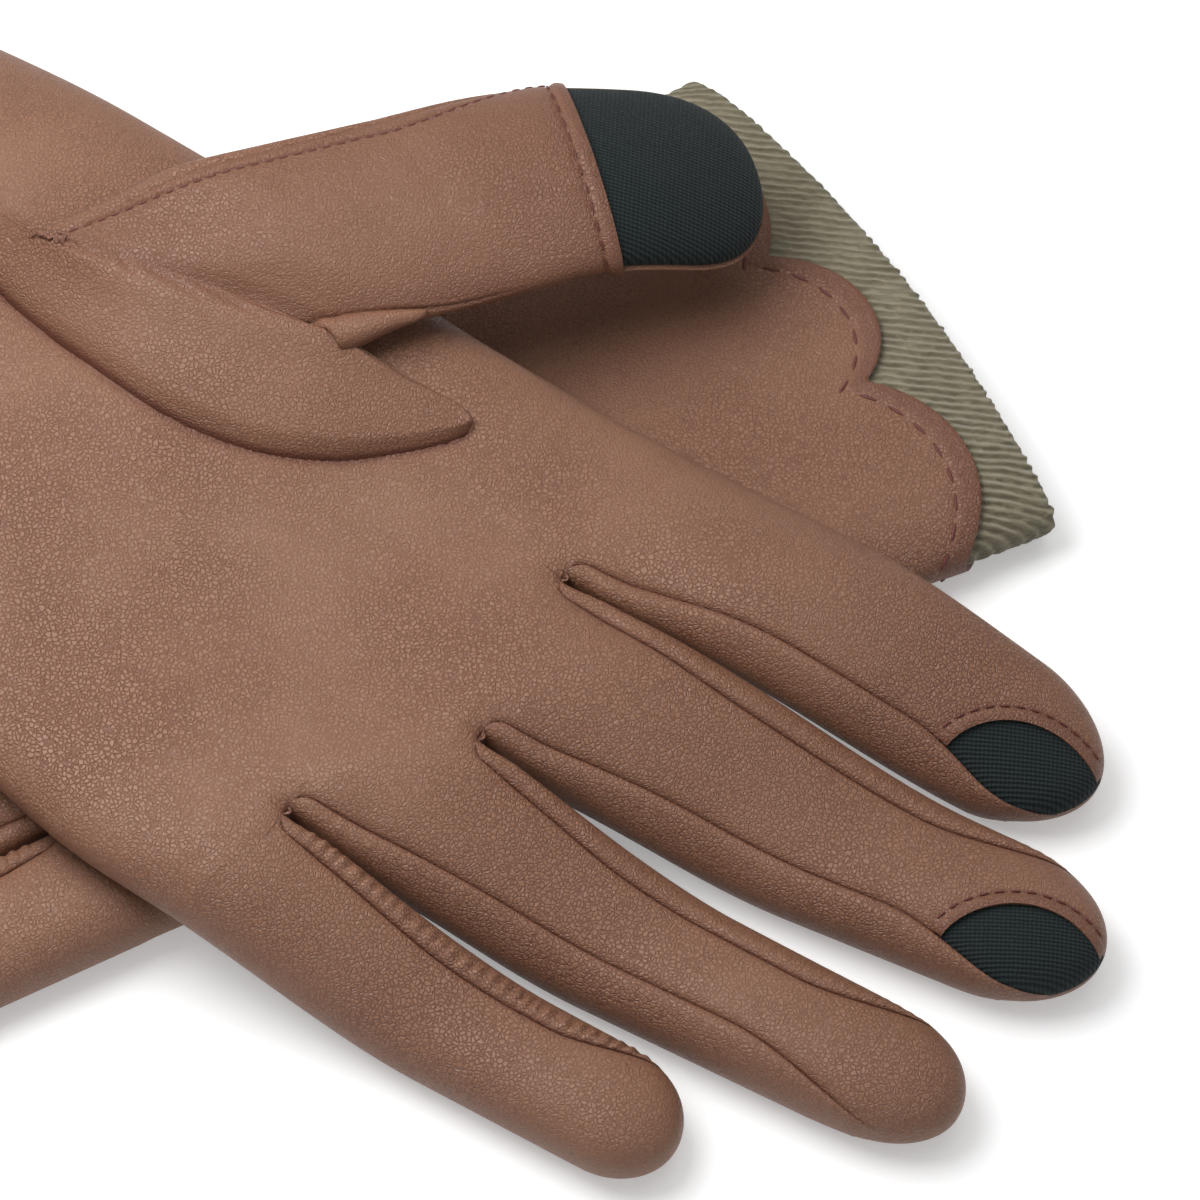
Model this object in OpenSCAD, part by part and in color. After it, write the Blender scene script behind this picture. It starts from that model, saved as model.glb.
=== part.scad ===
// A pair of lined leather touchscreen gloves, laid palm up and crossed.
// Each glove is drawn in its own flat frame: x runs from the knuckles to the fingertips,
// y runs towards the thumb and z runs up from the table.

/* [Hand] */
// Palm edge on the thumb side, measured from the hand line
palm_thumb_side = 57.6; // [54:0.1:62]
// Wrist edge on the thumb side, measured from the hand line
wrist_thumb_side = 55.5; // [50:0.1:58]
// Wrist edge on the little finger side, measured from the hand line
wrist_little_side = 28.5; // [24:0.1:32]
// How far the hem flares past the wrist, each side
cuff_flare = 1.6; // [0:0.1:4]
// Hand line to the tops of the cuff scallops
cuff_reach = 82; // [74:0.5:95]
// Thickness of the hand lying flat
hand_thick = 11; // [10:0.1:14]
// Width over which the side of the hand rounds off
side_round = 12; // [9:0.5:16]

/* [Fingers] */
// Width of the index finger
index_w = 25; // [22:0.1:27]
// Width of the middle finger
middle_w = 24.6; // [22:0.1:27]
// Width of the ring finger
ring_w = 20.6; // [18:0.1:23]
// Width of the little finger
little_w = 17.2; // [16:0.1:20]
// Hand line to the index fingertip
index_reach = 135.5; // [125:0.5:145]
// Hand line to the middle fingertip
middle_reach = 147.5; // [135:0.5:158]
// Hand line to the ring fingertip
ring_reach = 141.5; // [130:0.5:152]
// Hand line to the little fingertip
little_reach = 112.5; // [104:0.5:122]
// Sideways drift of the index fingertip, towards the thumb
index_drift = 1.2; // [0.5:0.1:4]
// Sideways drift of the middle fingertip, towards the thumb
middle_drift = 4; // [1:0.1:4.5]
// Sideways drift of the ring fingertip, away from the thumb
ring_drift = 0.2; // [0:0.1:3]
// Sideways drift of the little fingertip, away from the thumb
little_drift = 1.9; // [1:0.1:5]
// How much narrower the index finger is at its tip
index_taper = 5; // [2:0.1:7]
// How much narrower the middle finger is at its tip
middle_taper = 4.6; // [2:0.1:7]
// How much narrower the ring finger is at its tip
ring_taper = 3.6; // [2:0.1:6]
// How much narrower the little finger is at its tip
little_taper = 0.8; // [0.5:0.1:4]
// Thickness of a finger
finger_thick = 11.6; // [10:0.1:14]
// Space between neighbouring fingers at their roots
finger_gap = 0.8; // [0.5:0.1:1.5]
// Hand line to the edge of the index root on the thumb side
index_root = 68; // [64:0.5:74]
// Hand line to the crotch of index and middle finger
crotch_index = 64; // [58:0.5:70]
// Hand line to the crotch of middle and ring finger
crotch_middle = 66; // [60:0.5:72]
// Hand line to the crotch of ring and little finger
crotch_ring = 49.8; // [45:0.1:54]
// Hand line to the little finger root on the outer side
little_root = 46; // [42:0.5:50]
// Distance from a finger's side to the seam of its side strip, seen from above
strip_w = 4.4; // [3:0.1:5.5]

/* [Thumb] */
// Angle between the thumb and the fingers
thumb_angle = 46; // [38:1:54]
// Sideways offset of the thumb's centre line from the hand origin
thumb_offset = 27.6; // [25:0.1:30]
// Width of the thumb at its root
thumb_w = 28.8; // [26:0.1:31]
// How much narrower the thumb is at its tip
thumb_taper = 1.2; // [0.5:0.1:3]
// Thickness of the thumb
thumb_thick = 10.6; // [9:0.1:13]
// Reach of the thumb's tip along its centre line
thumb_reach = 109; // [100:0.5:116]
// Reach of the thumb's crotch fold along its centre line
thumb_fold = 47; // [44:0.5:52]
// Reach of the wrist end of the thumb's base
thumb_base_start = 22; // [16:0.5:30]
// Length of the touch patch on the thumb
thumb_patch_len = 23; // [18:0.5:28]
// Width of the hole in the palm that the thumb's base covers
thumb_hole_w = 14; // [10:0.5:16]

/* [Touch patches] */
// Length of the touch patch on a fingertip
tip_patch_len = 19.4; // [16:0.2:24]
// Radius of the leather edge that frames a fingertip patch
tip_patch_radius = 13.4; // [11:0.2:16]
// How far a fingertip patch stays short of the finger's centre line
tip_patch_short = 0.6; // [0:0.1:3]

/* [Cuff] */
// Number of scallops across one side of the cuff
scallops = 3; // [2:1:5]
// Depth of the scallops
scallop_depth = 7; // [4:0.5:9]
// Length of knit hem that shows past the scallops
hem_show = 6; // [3:0.5:8]
// How much shorter the cuff is at its thumb edge
cuff_short = 12; // [6:0.5:16]

/* [Materials] */
// Thickness of the leather
leather = 0.9; // [0.6:0.1:1.2]
// Thickness of the knitted lining
knit = 1.3; // [0.8:0.1:1.6]
// Clearance between leather and lining
ply_gap = 0.25; // [0.15:0.05:0.5]
// Clearance along a seam
seam_gap = 0.3; // [0.2:0.05:0.5]

/* [Crossing] */
// Direction of the upper, left glove
left_angle = -29; // [-35:1:-23]
// Direction of the lower, right glove
right_angle = 206; // [200:1:212]
// Upper glove's hand origin, sideways on the table
left_x = -47.5; // [-52:0.5:-43]
// Upper glove's hand origin, along the table
left_y = -18.5; // [-23:0.5:-14]
// Lower glove's hand origin, sideways on the table
right_x = -3; // [-8:0.5:2]
// Lower glove's hand origin, along the table
right_y = -17; // [-22:0.5:-12]
// Sideways bend of the upper glove's wrist, in millimetres for each millimetre along it
left_bend = 0.14; // [0:0.01:0.2]
// Reach along the upper glove's thumb where its tip starts to droop
left_droop = 80; // [72:1:86]
// Reach along the lower glove's thumb where its tip starts to droop
right_droop = 66; // [62:1:70]
// Clearance where the upper glove rests on the lower one
rest_gap = 0.5; // [0.3:0.1:1]
// Length over which the upper glove drapes down to the table
drape_len = 46; // [38:1:60]
// Thickness of the lower glove's thumb, pressed flat under the upper glove
pressed_thumb = 5.8; // [5.4:0.1:8]
// How far the upper glove's cuff sinks below its palm
cuff_sink = 9; // [4:0.5:12]

/* [Hidden] */
leather_brown = [0.49, 0.32, 0.25];
strip_brown = [0.44, 0.27, 0.20];
patch_black = [0.12, 0.14, 0.14];
knit_olive = [0.47, 0.44, 0.36];

// Squareness of the rounded sections, sideways and in height
side_power = 2.4;
top_power = 2.2;
// Inset of each layer's outer face from the outside of the glove
leather_inner = leather;
knit_outer = leather + ply_gap;
knit_inner = knit_outer + knit;
// Height of the thumb's underside above the hand where it crosses the palm
thumb_seat = 0.45;
hand_half = hand_thick / 2;
finger_half = finger_thick / 2;
cuff_start = cuff_reach + hem_show;
// Lengths over which the hand widens, dips at the crotches and flares at the hem
widen_from = -52;
widen_to = 18;
flare_from = -58;
bend_from = 45;
bend_ease = 40;
short_from = -12;
dip_from = 0.8;
dip_floor = 0.5;
// Tallness of the cutters, which clear both gloves
cutter_h = 90;

index_y = palm_thumb_side - index_w / 2;
middle_y = index_y - index_w / 2 - finger_gap - middle_w / 2;
ring_y = middle_y - middle_w / 2 - finger_gap - ring_w / 2;
little_y = ring_y - ring_w / 2 - finger_gap - little_w / 2;
palm_little_side = -(little_y - little_w / 2);

// A finger is [root on its outer side, root on its thumb side, root y, tip y, width, reach, taper]
index_f = [crotch_index, index_root, index_y, index_y + index_drift, index_w, index_reach, index_taper];
middle_f = [crotch_middle, crotch_index, middle_y, middle_y + middle_drift, middle_w, middle_reach, middle_taper];
ring_f = [crotch_ring, crotch_middle, ring_y, ring_y - ring_drift, ring_w, ring_reach, ring_taper];
little_f = [little_root, crotch_ring, little_y, little_y - little_drift, little_w, little_reach, little_taper];
fingers = [index_f, middle_f, ring_f, little_f];

// A glove is [side of the thumb, direction, place x, place y, share of the crossing's lift,
// thumb's thickness, bend of the wrist, reach along the thumb where it starts to droop]
left_g = [1, left_angle, left_x, left_y, 1, thumb_thick, left_bend, left_droop];
right_g = [-1, right_angle, right_x, right_y, 0, pressed_thumb, 0, right_droop];

function lerp(a, b, t) = a + (b - a) * t;
function clamp01(t) = max(0, min(1, t));
function smooth(a, b, x) = let (t = clamp01((x - a) / (b - a))) t * t * (3 - 2 * t);
function signed_pow(v, p) = sign(v) * pow(abs(v), p);

// Half width of the lower glove, which the upper one lies across on its palm and thumb
cross_angle = right_angle - left_angle;
cross_half = (palm_thumb_side + palm_little_side) / 2 / abs(sin(cross_angle)) - 6;
// Middle line of the lower hand, in the upper glove's own frame
cross_mid = (palm_thumb_side - palm_little_side) / 2;
mid_world = [right_x + cross_mid * sin(right_angle), right_y - cross_mid * cos(right_angle)];
mid_dx = mid_world[0] - left_x;
mid_dy = mid_world[1] - left_y;
mid_local = [mid_dx * cos(left_angle) + mid_dy * sin(left_angle),
             mid_dy * cos(left_angle) - mid_dx * sin(left_angle)];
cross_slope = 1 / tan(cross_angle);
lift_h = hand_thick + rest_gap;
function cross_x(y) = mid_local[0] + (y - mid_local[1]) * cross_slope;
function lift(x, y) = let (s = x - cross_x(y))
    lift_h * (1 - smooth(cross_half, cross_half + drape_len, s))
    + (pressed_thumb + rest_gap) * (1 - smooth(-25, 25, s)) - cuff_sink * (1 - smooth(-132, -72, s));

// A point of a glove, from its flat frame to its place on the table
function place(g, x, y, z) = let (yy = g[0] * y)
    [g[2] + x * cos(g[1]) - yy * sin(g[1]),
     g[3] + x * sin(g[1]) + yy * cos(g[1]),
     z + g[4] * lift(x, y)];

module on_glove(g) {
    translate([g[2], g[3], 0]) rotate(g[1]) mirror([0, g[0] > 0 ? 0 : 1, 0]) children();
}

// Faces of a sheet with an outer and an inner grid of n by m points
function sheet_faces(n, m) = let (s = n * m) concat(
    [for (i = [0:n - 2], j = [0:m - 2], k = [0, 1]) let (a = i * m + j)
        k == 0 ? [a, a + m, a + m + 1] : [a, a + m + 1, a + 1]],
    [for (i = [0:n - 2], j = [0:m - 2], k = [0, 1]) let (a = s + i * m + j)
        k == 0 ? [a, a + m + 1, a + m] : [a, a + 1, a + m + 1]],
    [for (i = [0:n - 2], k = [0, 1]) let (a = i * m)
        k == 0 ? [a, s + a, s + a + m] : [a, s + a + m, a + m]],
    [for (i = [0:n - 2], k = [0, 1]) let (a = i * m + m - 1)
        k == 0 ? [a, s + a + m, s + a] : [a, a + m, s + a + m]],
    [for (j = [0:m - 2], k = [0, 1]) let (a = j)
        k == 0 ? [a, s + a + 1, s + a] : [a, a + 1, s + a + 1]],
    [for (j = [0:m - 2], k = [0, 1]) let (a = (n - 1) * m + j)
        k == 0 ? [a, s + a, s + a + 1] : [a, s + a + 1, a + 1]]);

// Faces of a tube of n rings of m points, open at the first ring and shut past the last
function tube_faces(n, m) = let (s = n * m, tip = 2 * n * m) concat(
    [for (i = [0:n - 2], j = [0:m - 1], k = [0, 1])
        let (a = i * m + j, b = i * m + (j + 1) % m)
        k == 0 ? [a, a + m, b + m] : [a, b + m, b]],
    [for (i = [0:n - 2], j = [0:m - 1], k = [0, 1])
        let (a = s + i * m + j, b = s + i * m + (j + 1) % m)
        k == 0 ? [a, b + m, a + m] : [a, b, b + m]],
    [for (j = [0:m - 1], k = [0, 1]) let (b = (j + 1) % m)
        k == 0 ? [j, b, s + b] : [j, s + b, s + j]],
    [for (j = [0:m - 1]) [(n - 1) * m + j, tip, (n - 1) * m + (j + 1) % m]],
    [for (j = [0:m - 1]) [s + (n - 1) * m + j, s + (n - 1) * m + (j + 1) % m, tip + 1]]);

function turned(faces, flip) = flip ? [for (f = faces) [f[0], f[2], f[1]]] : faces;
function flat(rows) = [for (row = rows) for (p = row) p];

// A leather sheet between an outer and an inner grid
module sheet(outer, inner, flip) {
    n = len(outer);
    m = len(outer[0]);
    polyhedron(concat(flat(outer), flat(inner)), turned(sheet_faces(n, m), flip));
}

// Rows along a finger, closer together where the tip rounds off
finger_rows = [0, 0.25, 0.5, 0.72, 0.86, 0.945, 0.99];

function tip_round(f, u) = let (ur = 1 - 1.1 * f[4] / 2 / (f[5] - (f[0] + f[1]) / 2))
    u < ur ? 1 : sqrt(max(0, 1 - pow((u - ur) / (1 - ur), 2)));
function finger_half_w(f, u, e) = (lerp(f[4], f[4] - f[6], u) / 2 - e) * tip_round(f, u);

// A point of a finger: u runs from root to tip, a goes round from the thumb side over the palm side
function finger_point(g, f, u, a, e) =
    let (v = signed_pow(cos(a), 2 / side_power),
         root = lerp(f[0], f[1], (v + 1) / 2) + seam_gap,
         x = root + (f[5] - e - root) * u,
         y = lerp(f[2], f[3], u) + finger_half_w(f, u, e) * v,
         h = (finger_half - e) * pow(tip_round(f, u), 0.85))
    place(g, x, y, finger_half + h * signed_pow(sin(a), 2 / top_power));

// Angle of the strip seam, which runs out to the side at the tip
function seam_angle(f, u) =
    let (w = f[4] / 2, s = lerp(strip_w, 0.9, smooth(0.6, 1, u)))
    acos(pow((w - s) / w, side_power / 2));

// A panel of a finger from one seam angle to another, in m columns
module finger_panel(g, f, m, from, to) {
    edge = seam_gap / f[4] * 180 / PI;
    rows = [for (e = [0, leather_inner]) [for (u = finger_rows)
        let (a0 = from[0] + from[1] * seam_angle(f, u) + edge,
             a1 = to[0] + to[1] * seam_angle(f, u) - edge)
        [for (j = [0:m]) finger_point(g, f, u, lerp(a0, a1, j / m), e)]]];
    sheet(rows[0], rows[1], g[0] < 0);
}

// Palm side and back of a finger: each side is a fold (0) or a strip seam (1)
module finger_front(g, f, thumb_seam, outer_seam) {
    finger_panel(g, f, 4, [0, thumb_seam], [180, -outer_seam]);
}
module finger_back(g, f, thumb_seam, outer_seam) {
    finger_panel(g, f, 4, [180, outer_seam], [360, -thumb_seam]);
}
// Side strips, facing the thumb and facing away from it
module thumb_side_strip(g, f) {
    finger_panel(g, f, 2, [0, -1], [0, 1]);
}
module outer_side_strip(g, f) {
    finger_panel(g, f, 2, [180, -1], [180, 1]);
}
module both_strips(g, f) {
    thumb_side_strip(g, f);
    outer_side_strip(g, f);
}

// Angles round a finger's lining, in line with the columns of the panels outside it
function lining_angles(f, u, thumb_seam, outer_seam) =
    let (t = thumb_seam * seam_angle(f, u), o = outer_seam * seam_angle(f, u))
    concat([for (j = [0:3]) lerp(t, 180 - o, j / 4)],
           outer_seam == 0 ? [] : [for (j = [0:1]) lerp(180 - o, 180 + o, j / 2)],
           [for (j = [0:3]) lerp(180 + o, 360 - t, j / 4)],
           thumb_seam == 0 ? [] : [for (j = [0:1]) lerp(360 - t, 360 + t, j / 2)]);

// Knitted stall inside a finger
module stall(g, f, thumb_seam, outer_seam) {
    m = len(lining_angles(f, 0, thumb_seam, outer_seam));
    rings = [for (e = [knit_outer, knit_inner]) [for (u = finger_rows)
        [for (a = lining_angles(f, u, thumb_seam, outer_seam)) finger_point(g, f, u, a, e)]]];
    tips = [for (e = [knit_outer, knit_inner]) finger_point(g, f, 1, 90, e)];
    polyhedron(concat(flat(rings[0]), flat(rings[1]), tips), turned(tube_faces(len(finger_rows), m), g[0] < 0));
}

// Round cutter that parts a fingertip patch from the leather round it
module tip_cutter(g, f, radius) {
    on_glove(g)
        translate([f[5] - tip_patch_len + tip_patch_radius, f[3] - tip_patch_short - tip_patch_radius, -1])
            cylinder(r = radius, h = cutter_h, $fn = 64);
}
module patched_front(g, f, thumb_seam, outer_seam) {
    difference() {
        finger_front(g, f, thumb_seam, outer_seam);
        tip_cutter(g, f, tip_patch_radius);
    }
}
module tip_patch(g, f, thumb_seam, outer_seam) {
    intersection() {
        finger_front(g, f, thumb_seam, outer_seam);
        tip_cutter(g, f, tip_patch_radius - seam_gap);
    }
}

// Edges of the hand at a place along it, inset by e
function thumb_edge(x, e) = lerp(wrist_thumb_side, palm_thumb_side, smooth(widen_from, widen_to, x))
    + cuff_flare * smooth(flare_from, -cuff_start, x) - e;
function little_edge(x, e) = -lerp(wrist_little_side, palm_little_side, smooth(widen_from, widen_to + 30, x))
    - cuff_flare * smooth(flare_from, -cuff_start, x) + e;

// Sideways shift of the hand where its wrist bends
function wrist_shift(g, x) = g[6] * max(0, bend_from - x) * smooth(bend_from, bend_from - bend_ease, x);
// The cuff shortens towards its thumb edge
function cuff_rise(y) = cuff_short * pow(clamp01((y - short_from) / (wrist_thumb_side - short_from)), 2);

// Columns across the hand, each as [finger, place across it], from the thumb side outwards
hand_columns = concat([for (k = [0:3]) for (v = [1, 0.65, 0, -0.65]) [k, v]], [[3, -1]]);
hand_rows = [0, 0.15, 0.31, 0.47, 0.63, 0.79, 0.92, 1];

// A point of the hand: u runs from cuff to knuckles, c is a column, up is 1 for the palm side
function hand_point(g, u, c, up, e) =
    let (f = fingers[c[0]], v = c[1],
         root = lerp(f[0], f[1], (v + 1) / 2) - seam_gap,
         end_y = f[2] + f[4] / 2 * v,
         across = clamp01((end_y + palm_little_side) / (palm_thumb_side + palm_little_side)),
         hem = -cuff_start + cuff_rise(lerp(-wrist_little_side, wrist_thumb_side, across)),
         x = lerp(hem, root, u),
         y0 = little_edge(x, e) + wrist_shift(g, x),
         y1 = thumb_edge(x, e) + wrist_shift(g, x),
         y = lerp(y0, y1, across),
         d = min(across, 1 - across) * (y1 - y0) / side_round,
         flat_h = d >= 1 ? 1 : pow(1 - pow(1 - d, side_power), 1 / top_power),
         side_out = (c[0] == 0 && v > 0) || (c[0] == 3 && v < 0),
         lobe = pow(1 - pow(abs(v), side_power), 1 / top_power),
         s = smooth(dip_from, 1, u),
         mid = lerp(hand_half, finger_half, s),
         lobe_h = side_out ? (mid - e) * lobe : mid * max(dip_floor, lobe) - e,
         h = lerp((mid - e) * flat_h, lobe_h, s))
    place(g, x, y, mid + up * (h + (side_out && abs(v) == 1 ? seam_gap / 2 : 0)));

// Outline past the scalloped edge of the cuff, which trims the leather
scallop_steps = 10;
module scallop_cutter(g) {
    y0 = little_edge(-cuff_reach, 0);
    pitch = (thumb_edge(-cuff_reach, 0) - y0) / scallops;
    radius = (pitch * pitch / 4 + scallop_depth * scallop_depth) / (2 * scallop_depth);
    edge = [for (i = [0:scallops * scallop_steps])
        let (y = y0 + pitch * i / scallop_steps,
             off = (i % scallop_steps == 0 ? 0.5 : abs((i % scallop_steps) / scallop_steps - 0.5)) * pitch,
             x = -cuff_reach + cuff_rise(y) + radius - sqrt(radius * radius - off * off))
        [x, y + wrist_shift(g, x)]];
    on_glove(g) translate([0, 0, -1]) linear_extrude(cutter_h)
        polygon(concat([edge[0] - [0, 10], [-cuff_start - 20, edge[0][1] - 10],
                        [-cuff_start - 20, edge[len(edge) - 1][1] + 10], edge[len(edge) - 1] + [0, 10]],
                       [for (i = [len(edge) - 1:-1:0]) edge[i]]));
}

// Hole in the palm under the base of the thumb
module thumb_hole_cutter(g) {
    a = thumb_axis(thumb_base_start + thumb_hole_w / 2 + 6, 0);
    b = thumb_axis(thumb_fold - thumb_hole_w / 2, 0);
    on_glove(g) translate([0, 0, hand_half]) union() {
        for (p = [a, b]) translate(p) cylinder(d = thumb_hole_w, h = cutter_h, $fn = 48);
        translate(a) rotate(thumb_angle) translate([0, -thumb_hole_w / 2, 0])
            cube([norm(b - a), thumb_hole_w, cutter_h]);
    }
}

module hand_sheet(g, up) {
    rows = [for (e = [0, leather_inner])
        [for (u = hand_rows) [for (c = hand_columns) hand_point(g, u, c, up, e)]]];
    sheet(rows[0], rows[1], (g[0] < 0) != (up < 0));
}
module hand_leather(g, up) {
    difference() {
        hand_sheet(g, up);
        scallop_cutter(g);
        if (up > 0) thumb_hole_cutter(g);
    }
}

// Knitted lining of the hand, palm side and back, which shows as the hem past the scallops
module hand_lining(g, up) {
    rows = [for (e = [knit_outer, knit_inner])
        [for (u = hand_rows) [for (c = hand_columns) hand_point(g, u, c, up, e)]]];
    if (up > 0) difference() {
        sheet(rows[0], rows[1], g[0] < 0);
        thumb_hole_cutter(g);
    }
    else sheet(rows[0], rows[1], g[0] > 0);
}

// Centre line of the thumb, t along it and s across it towards the wrist
function thumb_axis(t, s) =
    let (d = [cos(thumb_angle), sin(thumb_angle)], n = [-d[1], d[0]]) n * (thumb_offset + s) + d * t;

// Height of the thumb's underside: it lies on the palm, then droops past the edge of the hand
droop_len = 34;
function thumb_floor(g, t) = lerp(hand_thick + thumb_seat, 0.3, smooth(g[7], g[7] + droop_len, t));
function thumb_round(t) = let (r = 1.05 * thumb_w / 2, s = (t - thumb_reach + r) / r)
    s < 0 ? 1 : sqrt(max(0, 1 - s * s));
// The base rises out of the palm from its wrist end to the fold
function base_rise(t) = smooth(thumb_base_start - 10, thumb_fold, t);

function thumb_point(g, t, a, e) =
    let (shrink = thumb_round(t),
         w = (lerp(thumb_w, thumb_w - thumb_taper, clamp01(t / thumb_reach)) / 2 * lerp(0.6, 1, base_rise(t)) - e) * shrink,
         tt = t > thumb_fold ? lerp(thumb_fold, thumb_reach - e, (t - thumb_fold) / (thumb_reach - thumb_fold)) : t,
         p = thumb_axis(tt, w * signed_pow(cos(a), 2 / side_power)),
         half = g[5] / 2,
         h = (half - e) * pow(shrink, 0.85),
         rise = base_rise(t),
         z = thumb_floor(g, t) + (half + h * signed_pow(sin(a), 2 / top_power)) * rise)
    place(g, p[0], p[1], z);

thumb_stalk_end = thumb_reach - thumb_patch_len;
base_rows = [for (u = [0, 0.35, 0.7, 1]) lerp(thumb_base_start, thumb_fold - 2 * seam_gap, u)];
stalk_rows = [for (i = [0:4]) lerp(thumb_fold, thumb_stalk_end - seam_gap / 2, i / 4)];
patch_rows = [for (u = [0, 0.3, 0.55, 0.75, 0.9, 0.97]) lerp(thumb_stalk_end + seam_gap / 2, thumb_reach, u)];
back_rows = concat([for (i = [0:4]) lerp(thumb_fold, thumb_stalk_end, i / 4)], [for (i = [1:5]) patch_rows[i]]);

// The base is open underneath, where the thumb's hole is
base_wrap = 50;
module thumb_sheet(g, rows, from, to) {
    edge = seam_gap / thumb_w * 180 / PI;
    m = 5;
    grids = [for (e = [0, leather_inner]) [for (t = rows)
        [for (j = [0:m]) thumb_point(g, t, lerp(from + edge, to - edge, j / m), e)]]];
    sheet(grids[0], grids[1], g[0] < 0);
}
module thumb_lining_stall(g) {
    m = 10;
    rings = [for (e = [knit_outer, knit_inner]) [for (t = back_rows)
        [for (j = [0:m - 1]) thumb_point(g, t, 360 * j / m, e)]]];
    tips = [for (e = [knit_outer, knit_inner]) thumb_point(g, thumb_reach, 90, e)];
    polyhedron(concat(flat(rings[0]), flat(rings[1]), tips), turned(tube_faces(len(back_rows), m), g[0] < 0));
}

// The pieces of one glove
module palm_panel(g) { color(leather_brown) hand_leather(g, 1); }
module back_panel(g) { color(leather_brown) hand_leather(g, -1); }
module palm_lining(g) { color(knit_olive) hand_lining(g, 1); }
module back_lining(g) { color(knit_olive) hand_lining(g, -1); }
module index_front(g) { color(leather_brown) patched_front(g, index_f, 0, 1); }
module index_back(g) { color(leather_brown) finger_back(g, index_f, 0, 1); }
module index_strip(g) { color(strip_brown) outer_side_strip(g, index_f); }
module index_patch(g) { color(patch_black) tip_patch(g, index_f, 0, 1); }
module index_lining(g) { color(knit_olive) stall(g, index_f, 0, 1); }
module middle_front(g) { color(leather_brown) patched_front(g, middle_f, 1, 1); }
module middle_back(g) { color(leather_brown) finger_back(g, middle_f, 1, 1); }
module middle_strips(g) { color(strip_brown) both_strips(g, middle_f); }
module middle_patch(g) { color(patch_black) tip_patch(g, middle_f, 1, 1); }
module middle_lining(g) { color(knit_olive) stall(g, middle_f, 1, 1); }
module ring_front(g) { color(leather_brown) finger_front(g, ring_f, 1, 1); }
module ring_back(g) { color(leather_brown) finger_back(g, ring_f, 1, 1); }
module ring_strips(g) { color(strip_brown) both_strips(g, ring_f); }
module ring_lining(g) { color(knit_olive) stall(g, ring_f, 1, 1); }
module little_front(g) { color(leather_brown) finger_front(g, little_f, 1, 0); }
module little_back(g) { color(leather_brown) finger_back(g, little_f, 1, 0); }
module little_strip(g) { color(strip_brown) thumb_side_strip(g, little_f); }
module little_lining(g) { color(knit_olive) stall(g, little_f, 1, 0); }
module thumb_base(g) { color(leather_brown) thumb_sheet(g, base_rows, -base_wrap, 180 + base_wrap); }
module thumb_front(g) { color(leather_brown) thumb_sheet(g, stalk_rows, 0, 180); }
module thumb_back(g) { color(leather_brown) thumb_sheet(g, back_rows, 180, 360); }
module thumb_patch(g) { color(patch_black) thumb_sheet(g, patch_rows, 0, 180); }
module thumb_lining(g) { color(knit_olive) thumb_lining_stall(g); }

PIECES = ["palm_panel", "back_panel", "palm_lining", "back_lining", "thumb_base",
    "index_front", "index_back", "index_strip", "index_patch", "index_lining",
    "middle_front", "middle_back", "middle_strips", "middle_patch", "middle_lining",
    "ring_front", "ring_back", "ring_strips", "ring_lining",
    "little_front", "little_back", "little_strip", "little_lining",
    "thumb_front", "thumb_back", "thumb_patch", "thumb_lining"];

module piece(g, p) {
    if (p == "palm_panel") palm_panel(g);
    if (p == "back_panel") back_panel(g);
    if (p == "palm_lining") palm_lining(g);
    if (p == "back_lining") back_lining(g);
    if (p == "thumb_base") thumb_base(g);
    if (p == "index_front") index_front(g);
    if (p == "index_back") index_back(g);
    if (p == "index_strip") index_strip(g);
    if (p == "index_patch") index_patch(g);
    if (p == "index_lining") index_lining(g);
    if (p == "middle_front") middle_front(g);
    if (p == "middle_back") middle_back(g);
    if (p == "middle_strips") middle_strips(g);
    if (p == "middle_patch") middle_patch(g);
    if (p == "middle_lining") middle_lining(g);
    if (p == "ring_front") ring_front(g);
    if (p == "ring_back") ring_back(g);
    if (p == "ring_strips") ring_strips(g);
    if (p == "ring_lining") ring_lining(g);
    if (p == "little_front") little_front(g);
    if (p == "little_back") little_back(g);
    if (p == "little_strip") little_strip(g);
    if (p == "little_lining") little_lining(g);
    if (p == "thumb_front") thumb_front(g);
    if (p == "thumb_back") thumb_back(g);
    if (p == "thumb_patch") thumb_patch(g);
    if (p == "thumb_lining") thumb_lining(g);
}

for (p = PIECES) {
    piece(left_g, p);
    piece(right_g, p);
}
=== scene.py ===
"""Looks of a pair of lined leather touchscreen gloves that lie crossed, palms up.

Each glove is cut and sewn in its own flat frame, in millimetres: x runs from the knuckles to the
fingertips, y runs towards the thumb and z runs up from the table. A glove then puts every point at
its place on the table, in metres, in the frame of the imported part.
"""

import logging
import math
from dataclasses import dataclass
from enum import Enum
from typing import Callable, Dict, List, Optional, Sequence, Tuple, Union

import bmesh
import bpy
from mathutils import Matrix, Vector, kdtree, noise

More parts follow.
